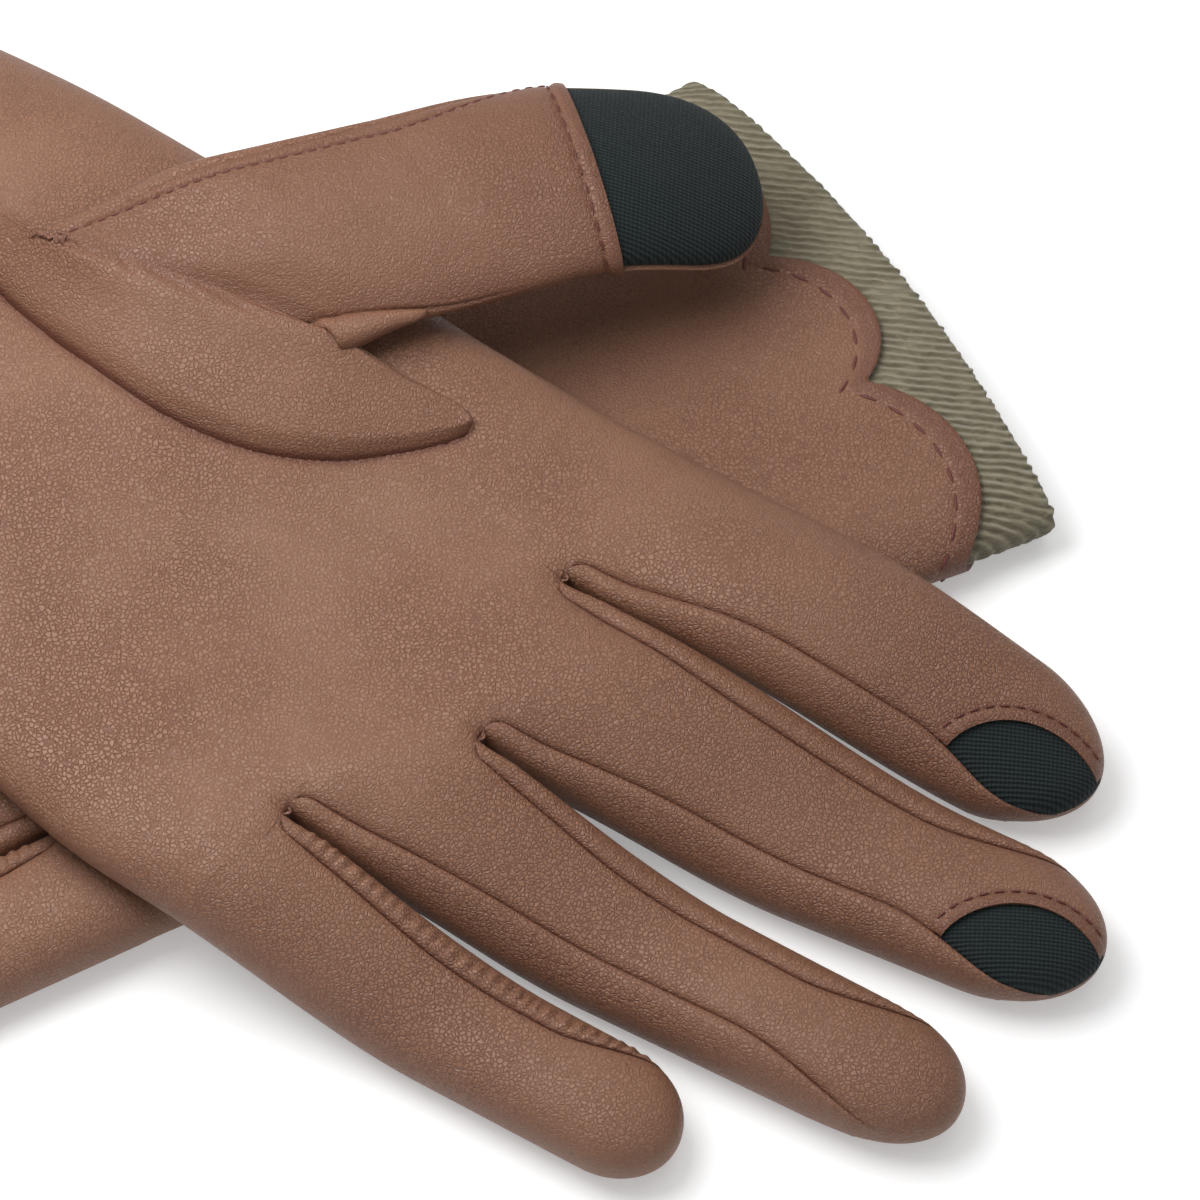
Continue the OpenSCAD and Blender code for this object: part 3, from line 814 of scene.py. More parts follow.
class Sewing:
    """Turns surfaces into finished pieces."""

    MERGE = 0.00002
    SLIVER = 0.00001
    JUDGED_ROWS = 0.4
    CUT_ROUNDS = 6
    CUT_MARGIN = 0.02

    def __init__(self, finishes: Finishes) -> None:
        """Keeps the finishes that the pieces are dressed in."""
        self.finishes = finishes

    @staticmethod
    def sheet(
        name: str,
        size: Tuple[int, int],
        surface: Surface,
        cut: Optional[Callable[[float, float], float]] = None,
        faces_up: bool = False,
    ) -> bpy.types.Object:
        """Builds a piece from a grid that is laid on a surface.

        Args:
            name: Name of the piece.
            size: Rows and columns of the grid.
            surface: Gives the spot for a place (u, v) of the grid, each from 0 to 1.
            cut: Distance of a place from a cut line, in millimetres. What lies below 0 is cut away.
            faces_up: Whether the sheet faces up, and not away from the middle of each of its rows.

        Returns:
            The piece, at the origin.
        """
        bm = bmesh.new()
        bmesh.ops.create_grid(bm, x_segments=size[0], y_segments=size[1], size=0.5)
        for v in bm.verts:
            v.co = (v.co.x + 0.5, v.co.y + 0.5, 0.0)
        if cut is not None:
            Sewing._trim(bm, cut)
        row_of = bm.faces.layers.int.new("row")
        for f in bm.faces:
            f.smooth = True
            f[row_of] = int(f.calc_center_median().x * size[0])
        # Every vertex keeps its spot's painted shade in a mesh attribute that the leather finish reads.
        painted_shade = bm.verts.layers.float.new("painted_shade")
        for v in bm.verts:
            spot = surface(clamp01(v.co.x), clamp01(v.co.y))
            v.co = spot.place
            v[painted_shade] = spot.painted_shade
        Sewing._turn_out(bm, row_of, size[0], faces_up)
        bmesh.ops.remove_doubles(bm, verts=bm.verts, dist=Sewing.MERGE)
        bmesh.ops.dissolve_degenerate(bm, edges=bm.edges, dist=Sewing.SLIVER)
        bm.faces.layers.int.remove(bm.faces.layers.int["row"])
        for edge in bm.edges:
            edge.smooth = not edge.is_boundary
        return Sewing.finish_mesh(name, bm)

    @staticmethod
    def _turn_out(bm: bmesh.types.BMesh, row_of: object, rows: int, faces_up: bool) -> None:
        """Turns the faces of a sheet outwards, judged on the first rows of its grid.

        Args:
            bm: The sheet.
            row_of: The layer that holds each face's row.
            rows: Number of rows of the grid.
            faces_up: Whether the sheet faces up, and not away from the middle of each of its rows.
        """
        bm.normal_update()
        sums: Dict[int, Tuple[Vector, int]] = {}
        for f in bm.faces:
            total, count = sums.get(f[row_of], (Vector(), 0))
            sums[f[row_of]] = (total + f.calc_center_median(), count + 1)
        score = 0.0
        for f in bm.faces:
            if f[row_of] > Sewing.JUDGED_ROWS * rows:
                continue
            total, count = sums[f[row_of]]
            away = UP if faces_up else f.calc_center_median() - total / count
            score += f.calc_area() * f.normal.dot(away)
        if score < 0:
            bmesh.ops.reverse_faces(bm, faces=bm.faces)

    @staticmethod
    def _trim(bm: bmesh.types.BMesh, cut: Callable[[float, float], float]) -> None:
        """Splits the grid along a cut line and removes what lies past it.

        Args:
            bm: The flat grid.
            cut: Distance of a place from the cut line, below 0 where the grid is removed.
        """
        crossing = []
        for edge in bm.edges:
            fa, fb = (cut(v.co.x, v.co.y) for v in edge.verts)
            if fa * fb < 0:
                crossing.append((edge, fa, fb))
        fresh = []
        for edge, fa, fb in crossing:
            first = edge.verts[0]
            a, b = first.co.copy(), edge.verts[1].co.copy()
            low, high, f_low, f_high = 0.0, 1.0, fa, fb
            share = 0.5
            for _ in range(Sewing.CUT_ROUNDS):
                share = low + (high - low) * clamp01(f_low / (f_low - f_high))
                here = a.lerp(b, share)
                f_here = cut(here.x, here.y)
                if f_here * f_low > 0:
                    low, f_low = share, f_here
                else:
                    high, f_high = share, f_here
            share = min(max(share, Sewing.CUT_MARGIN), 1 - Sewing.CUT_MARGIN)
            fresh.append(bmesh.utils.edge_split(edge, first, share)[1])
        bmesh.ops.connect_verts(bm, verts=fresh)
        gone = [f for f in bm.faces if cut(*f.calc_center_median().xy) < 0]
        bmesh.ops.delete(bm, geom=gone, context="FACES")

    @staticmethod
    def finish_mesh(name: str, bm: bmesh.types.BMesh) -> bpy.types.Object:
        """Makes an object of a finished bmesh.

        Args:
            name: Name of the object.
            bm: The bmesh, which is freed.

        Returns:
            The object, at the origin.
        """
        mesh = bpy.data.meshes.new(name)
        bm.to_mesh(mesh)
        bm.free()
        obj = bpy.data.objects.new(name, mesh)
        bpy.context.scene.collection.objects.link(obj)
        return obj

    @staticmethod
    def thicken(obj: bpy.types.Object, thick: float) -> None:
        """Gives a sheet its thickness, inwards from its outer face.

        Args:
            obj: The sheet.
            thick: Its thickness, in metres.
        """
        mod = obj.modifiers.new("thickness", "SOLIDIFY")
        mod.thickness = thick
        mod.offset = -1.0
        mod.use_even_offset = False

    @staticmethod
    def stitches(name: str, path: Path, stitch: Stitch) -> bpy.types.Object:
        """Sews a row of stitches along a path.

        Args:
            name: Name of the piece.
            path: Points of the path, each with the direction that its surface faces.
            stitch: Size of each stitch.

        Returns:
            The row of stitches as one piece.
        """
        bm = bmesh.new()
        lengths = [0.0]
        for (a, _), (b, _) in zip(path, path[1:]):
            lengths.append(lengths[-1] + (b - a).length)
        count = max(1, int(lengths[-1] / stitch.pitch))
        seg = 0
        for i in range(count):
            at = (i + 0.5) / count * lengths[-1]
            while seg < len(path) - 2 and lengths[seg + 1] < at:
                seg += 1
            share = clamp01((at - lengths[seg]) / max(lengths[seg + 1] - lengths[seg], 1e-9))
            place = path[seg][0].lerp(path[seg + 1][0], share)
            up = path[seg][1].lerp(path[seg + 1][1], share).normalized()
            along = (path[seg + 1][0] - path[seg][0]).normalized()
            side = up.cross(along).normalized()
            made = bmesh.ops.create_uvsphere(bm, u_segments=8, v_segments=6, radius=0.5)
            for v in made["verts"]:
                c = v.co.copy()
                v.co = place + along * (c.z * stitch.long) + (side * c.x + up * c.y) * stitch.thick
        for f in bm.faces:
            f.smooth = True
        return Sewing.finish_mesh(name, bm)


@dataclass
class Glove:
    """One glove: its surfaces in the flat frame and the pieces that are built on them."""

    cut: Cut
    lie: Lie
    drape: Drape
    sewing: Sewing
    wear: Wear = Wear()
    hem: Hem = Hem()

    SEAM_LINE = (
        (-50.0, 50.0), (-38.0, 39.5), (-19.6, 30.4), (-1.8, 26.3), (9.5, 25.1),
        (20.5, 26.7), (30.0, 31.0), (37.1, 36.8), (41.6, 41.3), (43.3, 43.7),
    )
    LIP_LINE = ((43.3, 43.7), (43.1, 45.4), (40.2, 46.0), (36.0, 45.3), (30.5, 44.5), (24.4, 44.4))
    SEAM_MARKS = 160
    # Darkness of the painted shade in a seam's groove.
    SEAM_SHADE = 0.9
    PATCH_SIDE = 4.0

    def __post_init__(self) -> None:
        """Works out the fingers and the seam of the thumb's base."""
        self.fingers = self.cut.fingers()
        self.side = "left" if self.lie.hand is Hand.LEFT else "right"
        self.hand_body = self.body_of("hand")
        self.squash = self.lie.thumb_thick / self.cut.full_thumb
        self.seam_tree = kdtree.KDTree(self.SEAM_MARKS + 1)
        for i in range(self.SEAM_MARKS + 1):
            p = curve_point(self.SEAM_LINE, i / self.SEAM_MARKS)
            self.seam_tree.insert((p[0], p[1], 0.0), i)
        self.seam_tree.balance()

    def body_of(self, part: str) -> str:
        """Returns the body that a part of the glove moves with, since the lower glove is one body."""
        return f"left_{part}" if self.side == "left" else "right_glove"

    def lift(self, x: float, y: float) -> float:
        """Returns how far the glove is raised off the table at a place."""
        return self.drape.lift(x, y) if self.lie.lifted else 0.0

    def place(self, x: float, y: float, z: float) -> Vector:
        """Returns a point of the flat frame at its place on the table, in metres."""
        c, s = self.lie.spin()
        yy = y * self.lie.hand.value
        return Vector((self.lie.x + x * c - yy * s, self.lie.y + x * s + yy * c, z + self.lift(x, y))) * MM

    def dents(self, x: float, y: float, seed: float = 0.0) -> float:
        """Returns the soft unevenness of this glove's leather, in millimetres."""
        return self.wear.dents(x, y, seed + 40.0 * self.lie.hand.value)

    def wrist_shift(self, x: float) -> float:
        """Returns the sideways shift of the hand where its wrist bends."""
        c = self.cut
        return self.lie.bend * max(0.0, c.bend_from - x) * smooth(c.bend_from, c.bend_full, x)

    def flare(self, x: float) -> float:
        """Returns how far each edge of the hand flares out at the cuff."""
        c = self.cut
        return c.cuff_flare * (1 - smooth(-(c.cuff_reach + c.hem_show), c.flare_end, x))

    def thumb_edge(self, x: float, e: float = 0.0) -> float:
        """Returns the hand's edge on the thumb side at x, inset by e."""
        c = self.cut
        wide = lerp(c.wrist_thumb_side, c.palm_thumb_side, smooth(c.wrist_end, c.thumb_side_full, x))
        return wide + self.flare(x) - e + self.wrist_shift(x)

    def little_edge(self, x: float, e: float = 0.0) -> float:
        """Returns the hand's edge on the little finger's side at x, inset by e."""
        c = self.cut
        wide = lerp(c.wrist_little_side, c.palm_little_side, smooth(c.wrist_end, c.little_side_full, x))
        return -wide - self.flare(x) + e + self.wrist_shift(x)

    def scallop_edge(self, across: float) -> float:
        """Gives the scalloped edge of the leather.

        Args:
            across: Share across the cuff, from the little finger's side.

        Returns:
            The place of the edge along the hand.
        """
        c = self.cut
        wide = self.thumb_edge(-c.cuff_reach) - self.little_edge(-c.cuff_reach)
        first, last = next(pair for pair in zip(c.notches, c.notches[1:]) if across <= pair[1])
        pitch = (last - first) * wide
        radius = (pitch * pitch / 4 + c.scallop_depth**2) / (2 * c.scallop_depth)
        off = (across - (first + last) / 2) * wide
        return -c.cuff_reach + c.cuff_rise(across) + radius - math.sqrt(max(0.0, radius * radius - off * off))

    def finger_section(self, f: Finger, a: float, d: float) -> Tuple[float, float]:
        """Gives a finger's section on one side.

        Args:
            f: The finger.
            a: Angle round the finger in degrees, from the thumb side over the palm side.
            d: Distance from the root.

        Returns:
            The place across, from -1 to 1, and the height, from 0 to 1.
        """
        c = self.cut
        v = c.across_at(a)
        h = abs(math.sin(math.radians(a))) ** (2 / c.top_power)
        if f.thumb_strip if v > 0 else f.outer_strip:
            h = 1 - (1 - h) * lerp(c.crotch_drop, 1.0, smooth(0.0, c.crotch_len, d))
        return v, h

    def seam_gap(self, f: Finger, d: float, v: float) -> float:
        """Returns the distance to the nearest strip seam of a finger, seen from above.

        Args:
            f: The finger.
            d: Distance from the finger's root, below 0 on the hand.
            v: Place across the finger, from -1 to 1.

        Returns:
            The distance in millimetres, below 0 on a strip.
        """
        w = self.cut.crotch_strip_w
        half = f.half_width(clamp01(d / f.length))
        best = math.inf
        for has, inset in ((f.thumb_strip, half * (1 - v)), (f.outer_strip, half * (1 + v))):
            if has:
                gap = math.hypot(w - d, inset) - w if d < w else inset - self.strip_inset(f, d)
                best = min(best, gap)
        return best

    def crotch_wrinkles(self, x: float, y: float) -> float:
        """Gives the fine wrinkles that run into the ends of the finger gaps.

        Args:
            x: Place along the hand.
            y: Place across the hand.

        Returns:
            Their height in millimetres.
        """
        total = 0.0
        for k, f in enumerate(self.fingers[1:], 1):
            gap_y = f.root_y + f.width / 2 + self.cut.finger_gap / 2
            total += self.wear.wrinkles(x - f.thumb_root, y - gap_y, k)
        return total

    def hand_spot(self, u: float, v: float, step: Optional[float] = None) -> Spot:
        """Gives a spot of the hand's leather.

        Args:
            u: Place along the hand, from the scalloped edge to the knuckles.
            v: Place round the hand, from the thumb's edge over the palm and back under it.
            step: Distance from the scalloped edge, which then stands for u.

        Returns:
            The spot, on the table.
        """
        c = self.cut
        up = 1.0 if v <= 0.5 else -1.0
        w = (v if v <= 0.5 else 1 - v) * 2 * len(self.fingers)
        k = min(int(w), len(self.fingers) - 1)
        f = self.fingers[k]
        fv, fh = self.finger_section(f, (w - k) * 180.0, 0.0)
        root = f.root_x(fv)
        end_y = f.root_y + f.width / 2 * fv
        across = clamp01((end_y + c.palm_little_side) / (c.palm_thumb_side + c.palm_little_side))
        begin = self.scallop_edge(across)
        x = lerp(begin, root, u) if step is None else begin + step
        y0, y1 = self.little_edge(x), self.thumb_edge(x)
        y = lerp(y0, y1, across)
        flat = c.side_flat(min(across, 1 - across) * (y1 - y0))
        s = smooth(root - 12, root, x)
        mid = lerp(c.hand_thick, c.finger_thick, s) / 2
        h = lerp(flat, fh, smooth(root - 3, root, x))
        dip = roll(self.seam_gap(f, x - root, fv) / c.groove_w)
        edge = x - begin
        hem = 0.30 * (1 - roll(edge / 1.6)) * (1 - smooth(3.0, 5.5, edge))
        hem -= 0.30 * bell(edge, c.hem_stitch, 0.7)
        # Painted shade in the seam grooves and on the band along the scalloped edge, where the leather rolls
        # down to the lining.
        painted_shade = max(self.SEAM_SHADE * dip**2, 0.45 * (1 - smooth(2.2, 4.4, edge)))
        rise = up * (hem * flat - c.groove * dip)
        if up > 0:
            gap = self.seam_tree.find((x, y, 0.0))[2]
            rise += (self.dents(x, y) + self.crotch_wrinkles(x, y)) * h * lerp(1.0, 0.7, s)
            rise -= 0.75 * roll(gap / 3.0)
            # Painted shade in the groove of the thumb leaf's seam across the palm.
            painted_shade = max(painted_shade, 0.7 * (1 - smooth(0.2, 1.2, gap)))
        elif self.lie.lifted:
            rise += 0.4 * self.dents(x, y, 77.0) * h
        return Spot(self.place(x, y, mid + up * mid * h + rise), painted_shade)

    def cuff_spot(self, start: float, step: float, across: float, up: float, e: float) -> Spot:
        """Gives a spot of the hand's even section.

        Args:
            start: Where the section starts at the little finger's side.
            step: Distance from the start.
            across: Share across the hand, from the little finger's side.
            up: 1 on the palm side and -1 on the back.
            e: Inset from the outside of the glove.

        Returns:
            The spot, on the table.
        """
        c = self.cut
        x = start + c.cuff_rise(across) + step
        y0, y1 = self.little_edge(x, e), self.thumb_edge(x, e)
        flat = c.side_flat(min(across, 1 - across) * (y1 - y0))
        mid = c.hand_thick / 2
        return Spot(self.place(x, lerp(y0, y1, across), mid + up * (mid - e) * flat))

    def strip_inset(self, f: Finger, d: float) -> float:
        """Gives the place of a strip's seam.

        Args:
            f: The finger.
            d: Distance from the finger's root.

        Returns:
            How far the seam lies inside the finger's side.
        """
        c = self.cut
        turn = math.sqrt(1 - (1 - clamp01(d / c.crotch_strip_w)) ** 2)
        wide = lerp(c.crotch_strip_w, c.strip_w, smooth(0, c.strip_wide_at, d))
        return wide * turn * (1 - smooth(c.strip_narrow_from, c.strip_end, d / f.length))

    def seam_angle(self, f: Finger, d: float) -> float:
        """Gives the angle of a strip's seam round a finger.

        Args:
            f: The finger.
            d: Distance from the finger's root.

        Returns:
            The angle in degrees.
        """
        half = f.half_width(clamp01(d / f.length))
        share = max(0.0, (half - self.strip_inset(f, d)) / half)
        return math.degrees(math.acos(min(1.0, share ** (self.cut.side_power / 2))))

    def finger_spot(
        self, f: Finger, u: float, a: float, e: float = 0.0, sink: float = 0.0, dent: bool = True
    ) -> Spot:
        """Gives a spot of a finger.

        Args:
            f: The finger.
            u: Place along it, from root to tip.
            a: Angle round it in degrees, from the thumb side over the palm side.
            e: Inset from the outside of the glove.
            sink: How far the spot is pressed in, straight down or up.
            dent: Whether the leather's unevenness shows here.

        Returns:
            The spot, on the table.
        """
        up = 1.0 if math.sin(math.radians(a)) >= 0 else -1.0
        tip = f.tip_round(u)
        v, h = self.finger_section(f, a, u * f.length)
        root = f.root_x(v)
        x = root + (f.reach - e - root) * u
        y = lerp(f.root_y, f.tip_y, u) + (f.half_width(u) - e) * tip * v
        mid = self.cut.finger_thick / 2
        z = mid + up * ((mid - e) * tip**self.cut.tip_flat * h - sink * tip)
        if dent and up > 0:
            z += self.finger_dents(x, y, u * f.length) * h * tip
        return Spot(self.place(x, y, z))

    def finger_dents(self, x: float, y: float, d: float) -> float:
        """Returns the unevenness of a finger's leather, with wrinkles near its root."""
        near = self.crotch_wrinkles(x, y) if d < self.cut.crotch_len else 0.0
        return 0.7 * (self.dents(x, y) + near)

    @staticmethod
    def along(q: float) -> float:
        """Returns a finger's place from root to tip for a row, with rows closer at both ends."""
        return lerp(q, math.sin(q * math.pi / 2), 0.75) * lerp(0.55, 1.0, smooth(0.0, 0.4, q))

    def panel(self, f: Finger, span: Span) -> Surface:
        """Makes the surface of a finger panel between two angles.

        Args:
            f: The finger.
            span: Gives the first and last angle for a distance from the root.

        Returns:
            The surface.
        """
        c = self.cut

        def spot(q: float, t: float) -> Spot:
            """Returns the panel's spot, with its seam grooves, the turned edge at its patch and painted shade
            in both.
            """
            u = self.along(q)
            a = lerp(*span(u * f.length), t)
            dip = self.strip_groove(f, u, a)
            sink, painted_shade = c.groove * dip, self.SEAM_SHADE * dip**2
            if f.patched and a > self.PATCH_SIDE:
                away = self.patch_distance(f, u, a)
                sink -= 0.40 * (1 - roll((away + 0.3) / 0.9)) * (1 - smooth(1.0, c.patch_stitch, away))
                sink += 0.22 * bell(away, c.patch_stitch, 0.5)
                # Painted shade along the patch's turned edge and in the groove of its stitches.
                rim = 0.42 * (1 - smooth(1.2, c.patch_stitch, away))
                painted_shade = max(painted_shade, rim, 0.65 * bell(away, c.patch_stitch, 0.35))
            return Spot(self.finger_spot(f, u, a, 0.0, sink).place, painted_shade)

        return spot

    def strip_groove(self, f: Finger, u: float, a: float) -> float:
        """Returns how deep a finger's strip seams press a spot, from 0 to 1."""
        gap = self.seam_gap(f, u * f.length, self.cut.across_at(a))
        return roll(gap / self.cut.groove_w) * self.cut.seam_left(u)

    def strip(self, f: Finger, facing_thumb: bool) -> Surface:
        """Makes the surface of a side strip, from its palm seam to its back seam.

        Args:
            f: The finger.
            facing_thumb: Whether the strip is on the thumb's side of the finger.

        Returns:
            The surface.
        """
        c = self.cut
        mid = c.finger_thick / 2

        def spot(q: float, t: float) -> Spot:
            """Returns the strip's spot, with its bulge and its puckers between the two seams."""
            u = self.along(q) * c.strip_end
            d = u * f.length
            s = max(self.seam_angle(f, d), 0.05)
            tau = math.cos(math.pi * t)
            a = tau * s
            up = 1.0 if tau >= 0 else -1.0
            edge_h = self.finger_section(f, s if facing_thumb else 180 - s, d)[1]
            full = math.sin(math.radians(s)) ** (2 / c.top_power)
            ratio = abs(math.sin(math.radians(a))) ** (2 / c.top_power) / full
            ratio **= lerp(0.32, 1.0, smooth(3.0, 26.0, d))
            gap = (1 - ratio) * edge_h * mid + 0.4 * (1 - abs(tau)) * self.strip_inset(f, d)
            fade = c.seam_left(u)
            dip = roll(gap / c.groove_w) * fade
            beat = d / 1.9 + 0.5 * noise.noise(Vector((d / 4.0, f.root_y, 3.0)))
            pucker = f.pucker * math.sin(beat * 2 * math.pi) * bell(gap, 1.3, 1.2) * (up > 0)
            bulge = (c.strip_bulge + pucker) * (1 - dip) * smooth(1.5, 7.0, d) * fade
            tip = f.tip_round(u)
            v = c.across_at(a) * (1 if facing_thumb else -1)
            root = f.root_x(v)
            x = root + (f.reach - root) * u
            y = lerp(f.root_y, f.tip_y, u) + (f.half_width(u) + bulge * (1 - 0.5 * ratio)) * tip * v
            proud = (1.5 * bulge * ratio - c.groove * dip) * tip
            z = mid + up * (mid * tip**c.tip_flat * ratio * edge_h + proud)
            if up > 0:
                z += self.finger_dents(x, y, d) * ratio * edge_h * tip
            # The seam grooves get painted shade.
            return Spot(self.place(x, y, z), self.SEAM_SHADE * dip**2)

        return spot

    def patch_centre(self, f: Finger) -> Point2:
        """Returns the middle of the round line that parts a fingertip's patch from its leather."""
        c = self.cut
        return f.reach - c.patch_len + c.patch_radius, f.tip_y - c.patch_short - c.patch_radius

    def patch_distance(self, f: Finger, u: float, a: float) -> float:
        """Gives the distance of a finger's spot from the edge of its patch.

        Args:
            f: The finger.
            u: Place along it, from root to tip.
            a: Angle round it in degrees.

        Returns:
            The distance in millimetres, above 0 on the leather.
        """
        v = self.cut.across_at(a)
        root = f.root_x(v)
        x = root + (f.reach - root) * u
        y = lerp(f.root_y, f.tip_y, u) + f.half_width(u) * f.tip_round(u) * v
        cx, cy = self.patch_centre(f)
        return math.hypot(x - cx, y - cy) - self.cut.patch_radius

    def build_finger(self, f: Finger) -> None:
        """Builds a finger's leather, strips, patch, stitches and lining.

        Args:
            f: The finger.
        """
        c = self.cut
        body = self.body_of(f.name)
        tag = f"{self.side}_{f.name}"
        rows = 110
        fin = self.sewing.finishes

        def seam(d: float) -> float:
            """Returns the angle of the strip seams at a distance from the root."""
            return self.seam_angle(f, d)

        spans: Dict[str, Tuple[Span, int]] = {}
        if f.thumb_strip and f.outer_strip:
            spans["front"] = (lambda d: (180 - seam(d), seam(d)), 64)
            spans["back"] = (lambda d: (360 - seam(d), 180 + seam(d)), 32)
        elif f.outer_strip:
            spans["front"] = (lambda d: (180 - seam(d), -180 + seam(d)), 128)
        else:
            spans["front"] = (lambda d: (360 - seam(d), seam(d)), 128)
        for part, (span, columns) in spans.items():
            trim = None
            if f.patched and part == "front":

                def trim(q: float, t: float, span: Span = span) -> float:
                    """Returns the distance from the patch edge, with the back of the finger left whole."""
                    u = self.along(clamp01(q))
                    a = lerp(*span(u * f.length), clamp01(t))
                    away = self.patch_distance(f, u, a)
                    return away if a > self.PATCH_SIDE else max(away, 3.0)

            piece = self.sewing.sheet(f"{tag}_{part}_leather", (rows, columns), self.panel(f, span), trim)
            self.dress(piece, body, f, fin.leather, True)
            nodes = [f"{tag}_{part}"] if len(spans) == 2 else [f"{tag}_front", f"{tag}_back"]
            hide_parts(*nodes)
        strips = [facing for facing, has in ((True, f.thumb_strip), (False, f.outer_strip)) if has]
        for facing in strips:
            word = "thumb_side" if facing else "outer_side"
            piece = self.sewing.sheet(f"{tag}_{word}_strip", (rows * 2, 26), self.strip(f, facing))
            Sewing.thicken(piece, c.strip_thick * MM)
            self.dress(piece, body, f, fin.leather, False)
            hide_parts(f"{tag}_strips" if len(strips) == 2 else f"{tag}_strip")
        if f.patched:
            self.build_tip_patch(f, body, tag)

        def stall(q: float, t: float) -> Spot:
            """Returns a spot of the lining inside the finger."""
            u = lerp(c.stall_from / f.length, 1.0, self.along(q))
            return self.finger_spot(f, u, t * 360.0, c.knit_outer + c.stall_room, dent=False)

        lining = self.sewing.sheet(f"{tag}_knit_stall", (36, 36), stall)
        self.dress(lining, body, f, fin.knit, False)
        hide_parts(f"{tag}_lining")
        LOG.info("%s finger: leather, %d strips and lining", tag, len(strips))

    def build_webs(self) -> None:
        """Closes the end of each finger gap with a small web between the two strips."""
        c, s = self.lie.spin()
        ahead = Vector((c, s, 0.0)) * MM
        for first, second in zip(self.fingers, self.fingers[1:]):
            near, far = self.strip(first, False), self.strip(second, True)

            def wall(q: float, t: float, near: Surface = near, far: Surface = far) -> Spot:
                """Returns a spot of the web, which bows towards the fingertips."""
                place = near(0.0, q).place.lerp(far(0.0, q).place, t)
                # The web deep in the finger gap is darkened evenly by painted shade.
                return Spot(place + ahead * (0.5 * math.sin(math.pi * t)), 0.5)

            web = self.sewing.sheet(f"{self.side}_{first.name}_{second.name}_web", (24, 6), wall)
            Sewing.thicken(web, self.cut.strip_thick * MM)
            self.settle(web, self.sewing.finishes.leather)
        LOG.info("%s finger gaps: three webs", self.side)

    def build_tip_patch(self, f: Finger, body: str, tag: str) -> None:
        """Builds the touch patch of a fingertip and the stitches round its leather edge.

        Args:
            f: The finger.
            body: The body that it moves with.
            tag: Start of its pieces' names.
        """
        c = self.cut
        fin = self.sewing.finishes
        first = 1 - (c.patch_len + 3) / f.length

        def reach(q: float, t: float) -> Tuple[float, float]:
            """Returns the place along the finger and the angle round it for a place of the patch."""
            u = lerp(first, 1.0, math.sin(clamp01(q) * math.pi / 2))
            low = 180 - self.seam_angle(f, u * f.length)
            return u, lerp(low, 3.0, clamp01(t))

        def spot(q: float, t: float) -> Spot:
            """Returns a spot of the patch, sunk a little below the leather."""
            u, a = reach(q, t)
            fade = 1 - smooth(0.94, 1.0, u)
            return self.finger_spot(f, u, a, 0.0, c.patch_sink * fade + 0.5 * self.strip_groove(f, u, a))

        def inside(q: float, t: float) -> float:
            """Returns the distance from the patch's own edge, which laps under the leather."""
            return c.patch_lap - self.patch_distance(f, *reach(q, t))

        patch = self.sewing.sheet(f"{tag}_touch_patch", (60, 50), spot, inside)
        self.dress(patch, body, f, fin.touch, True)
        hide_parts(f"{tag}_patch")
        cx, cy = self.patch_centre(f)
        radius = c.patch_radius + c.patch_stitch
        path: Path = []
        for i in range(80):
            ang = math.radians(lerp(176.0, 40.0, i / 79))
            found = self.top_of_finger(f, cx + radius * math.cos(ang), cy + radius * math.sin(ang))
            if found is not None:
                path.append(found)
        row = self.sewing.stitches(f"{tag}_patch_stitches", path, PATCH_STITCH)
        self.dress(row, body, f, fin.thread, False)

    def top_of_finger(self, f: Finger, x: float, y: float) -> Optional[Tuple[Vector, Vector]]:
        """Finds the palm side of a finger over a place of the flat frame.

        Args:
            f: The finger.
            x: Place along the hand.
            y: Place across the hand.

        Returns:
            The spot and the direction it faces, or None where the finger has no palm side there.
        """

        def at(px: float, py: float) -> Optional[Vector]:
            """Returns the palm side's point over a place, or None off the finger or on a strip."""
            v, u = 0.0, 0.0
            for _ in range(12):
                root = f.root_x(v)
                u = (px - root) / (f.reach - root)
                if not 0 <= u < 1:
                    return None
                half = f.half_width(u) * f.tip_round(u)
                v = (py - lerp(f.root_y, f.tip_y, u)) / max(half, 0.1)
                if abs(v) > 0.96:
                    return None
            a = math.degrees(math.acos(signed_pow(v, self.cut.side_power / 2)))
            return None if self.seam_gap(f, u * f.length, v) < 0.7 else self.finger_spot(f, u, a).place

        mid, right, far = at(x, y), at(x + 0.3, y), at(x, y + 0.3)
        if mid is None or right is None or far is None:
            return None
        return mid, upright((right - mid).cross(far - mid).normalized())

    def thumb_axis(self, t: float, s: float) -> Point2:
        """Gives a place of the thumb in the flat frame.

        Args:
            t: Distance along the thumb's centre line.
            s: Distance across it, towards the wrist.

        Returns:
            The place along and across the hand.
        """
        a = math.radians(self.cut.thumb_angle)
        d, n = (math.cos(a), math.sin(a)), (-math.sin(a), math.cos(a))
        off = self.cut.thumb_offset + s
        return n[0] * off + d[0] * t, n[1] * off + d[1] * t

    def thumb_half(self, t: float) -> float:
        """Returns half the thumb's width at a place along it."""
        c = self.cut
        return lerp(c.thumb_w, c.thumb_w - c.thumb_taper, clamp01(t / c.thumb_reach)) / 2

    def thumb_root(self, a: float) -> float:
        """Returns where the thumb leaves its base, which slants from the slit to the wrist side."""
        c = self.cut
        s = -self.thumb_half(c.thumb_root_at) * c.across_at(a)
        return c.thumb_slit[0] - max(0.0, s - c.thumb_slit[1]) * c.thumb_slant

    def slit_angle(self) -> float:
        """Returns the angle round the thumb at the end of its slit."""
        c = self.cut
        share = -c.thumb_slit[1] / self.thumb_half(c.thumb_root_at)
        return math.degrees(math.acos(share ** (c.side_power / 2)))

    def slit_seam(self, t: float) -> float:
        """Returns the angle of the seam that runs out of the slit along the thumb's finger side."""
        end, angle = self.cut.slit_seam_end
        return lerp(self.slit_angle(), angle, smooth(self.cut.thumb_slit[0], end, t))

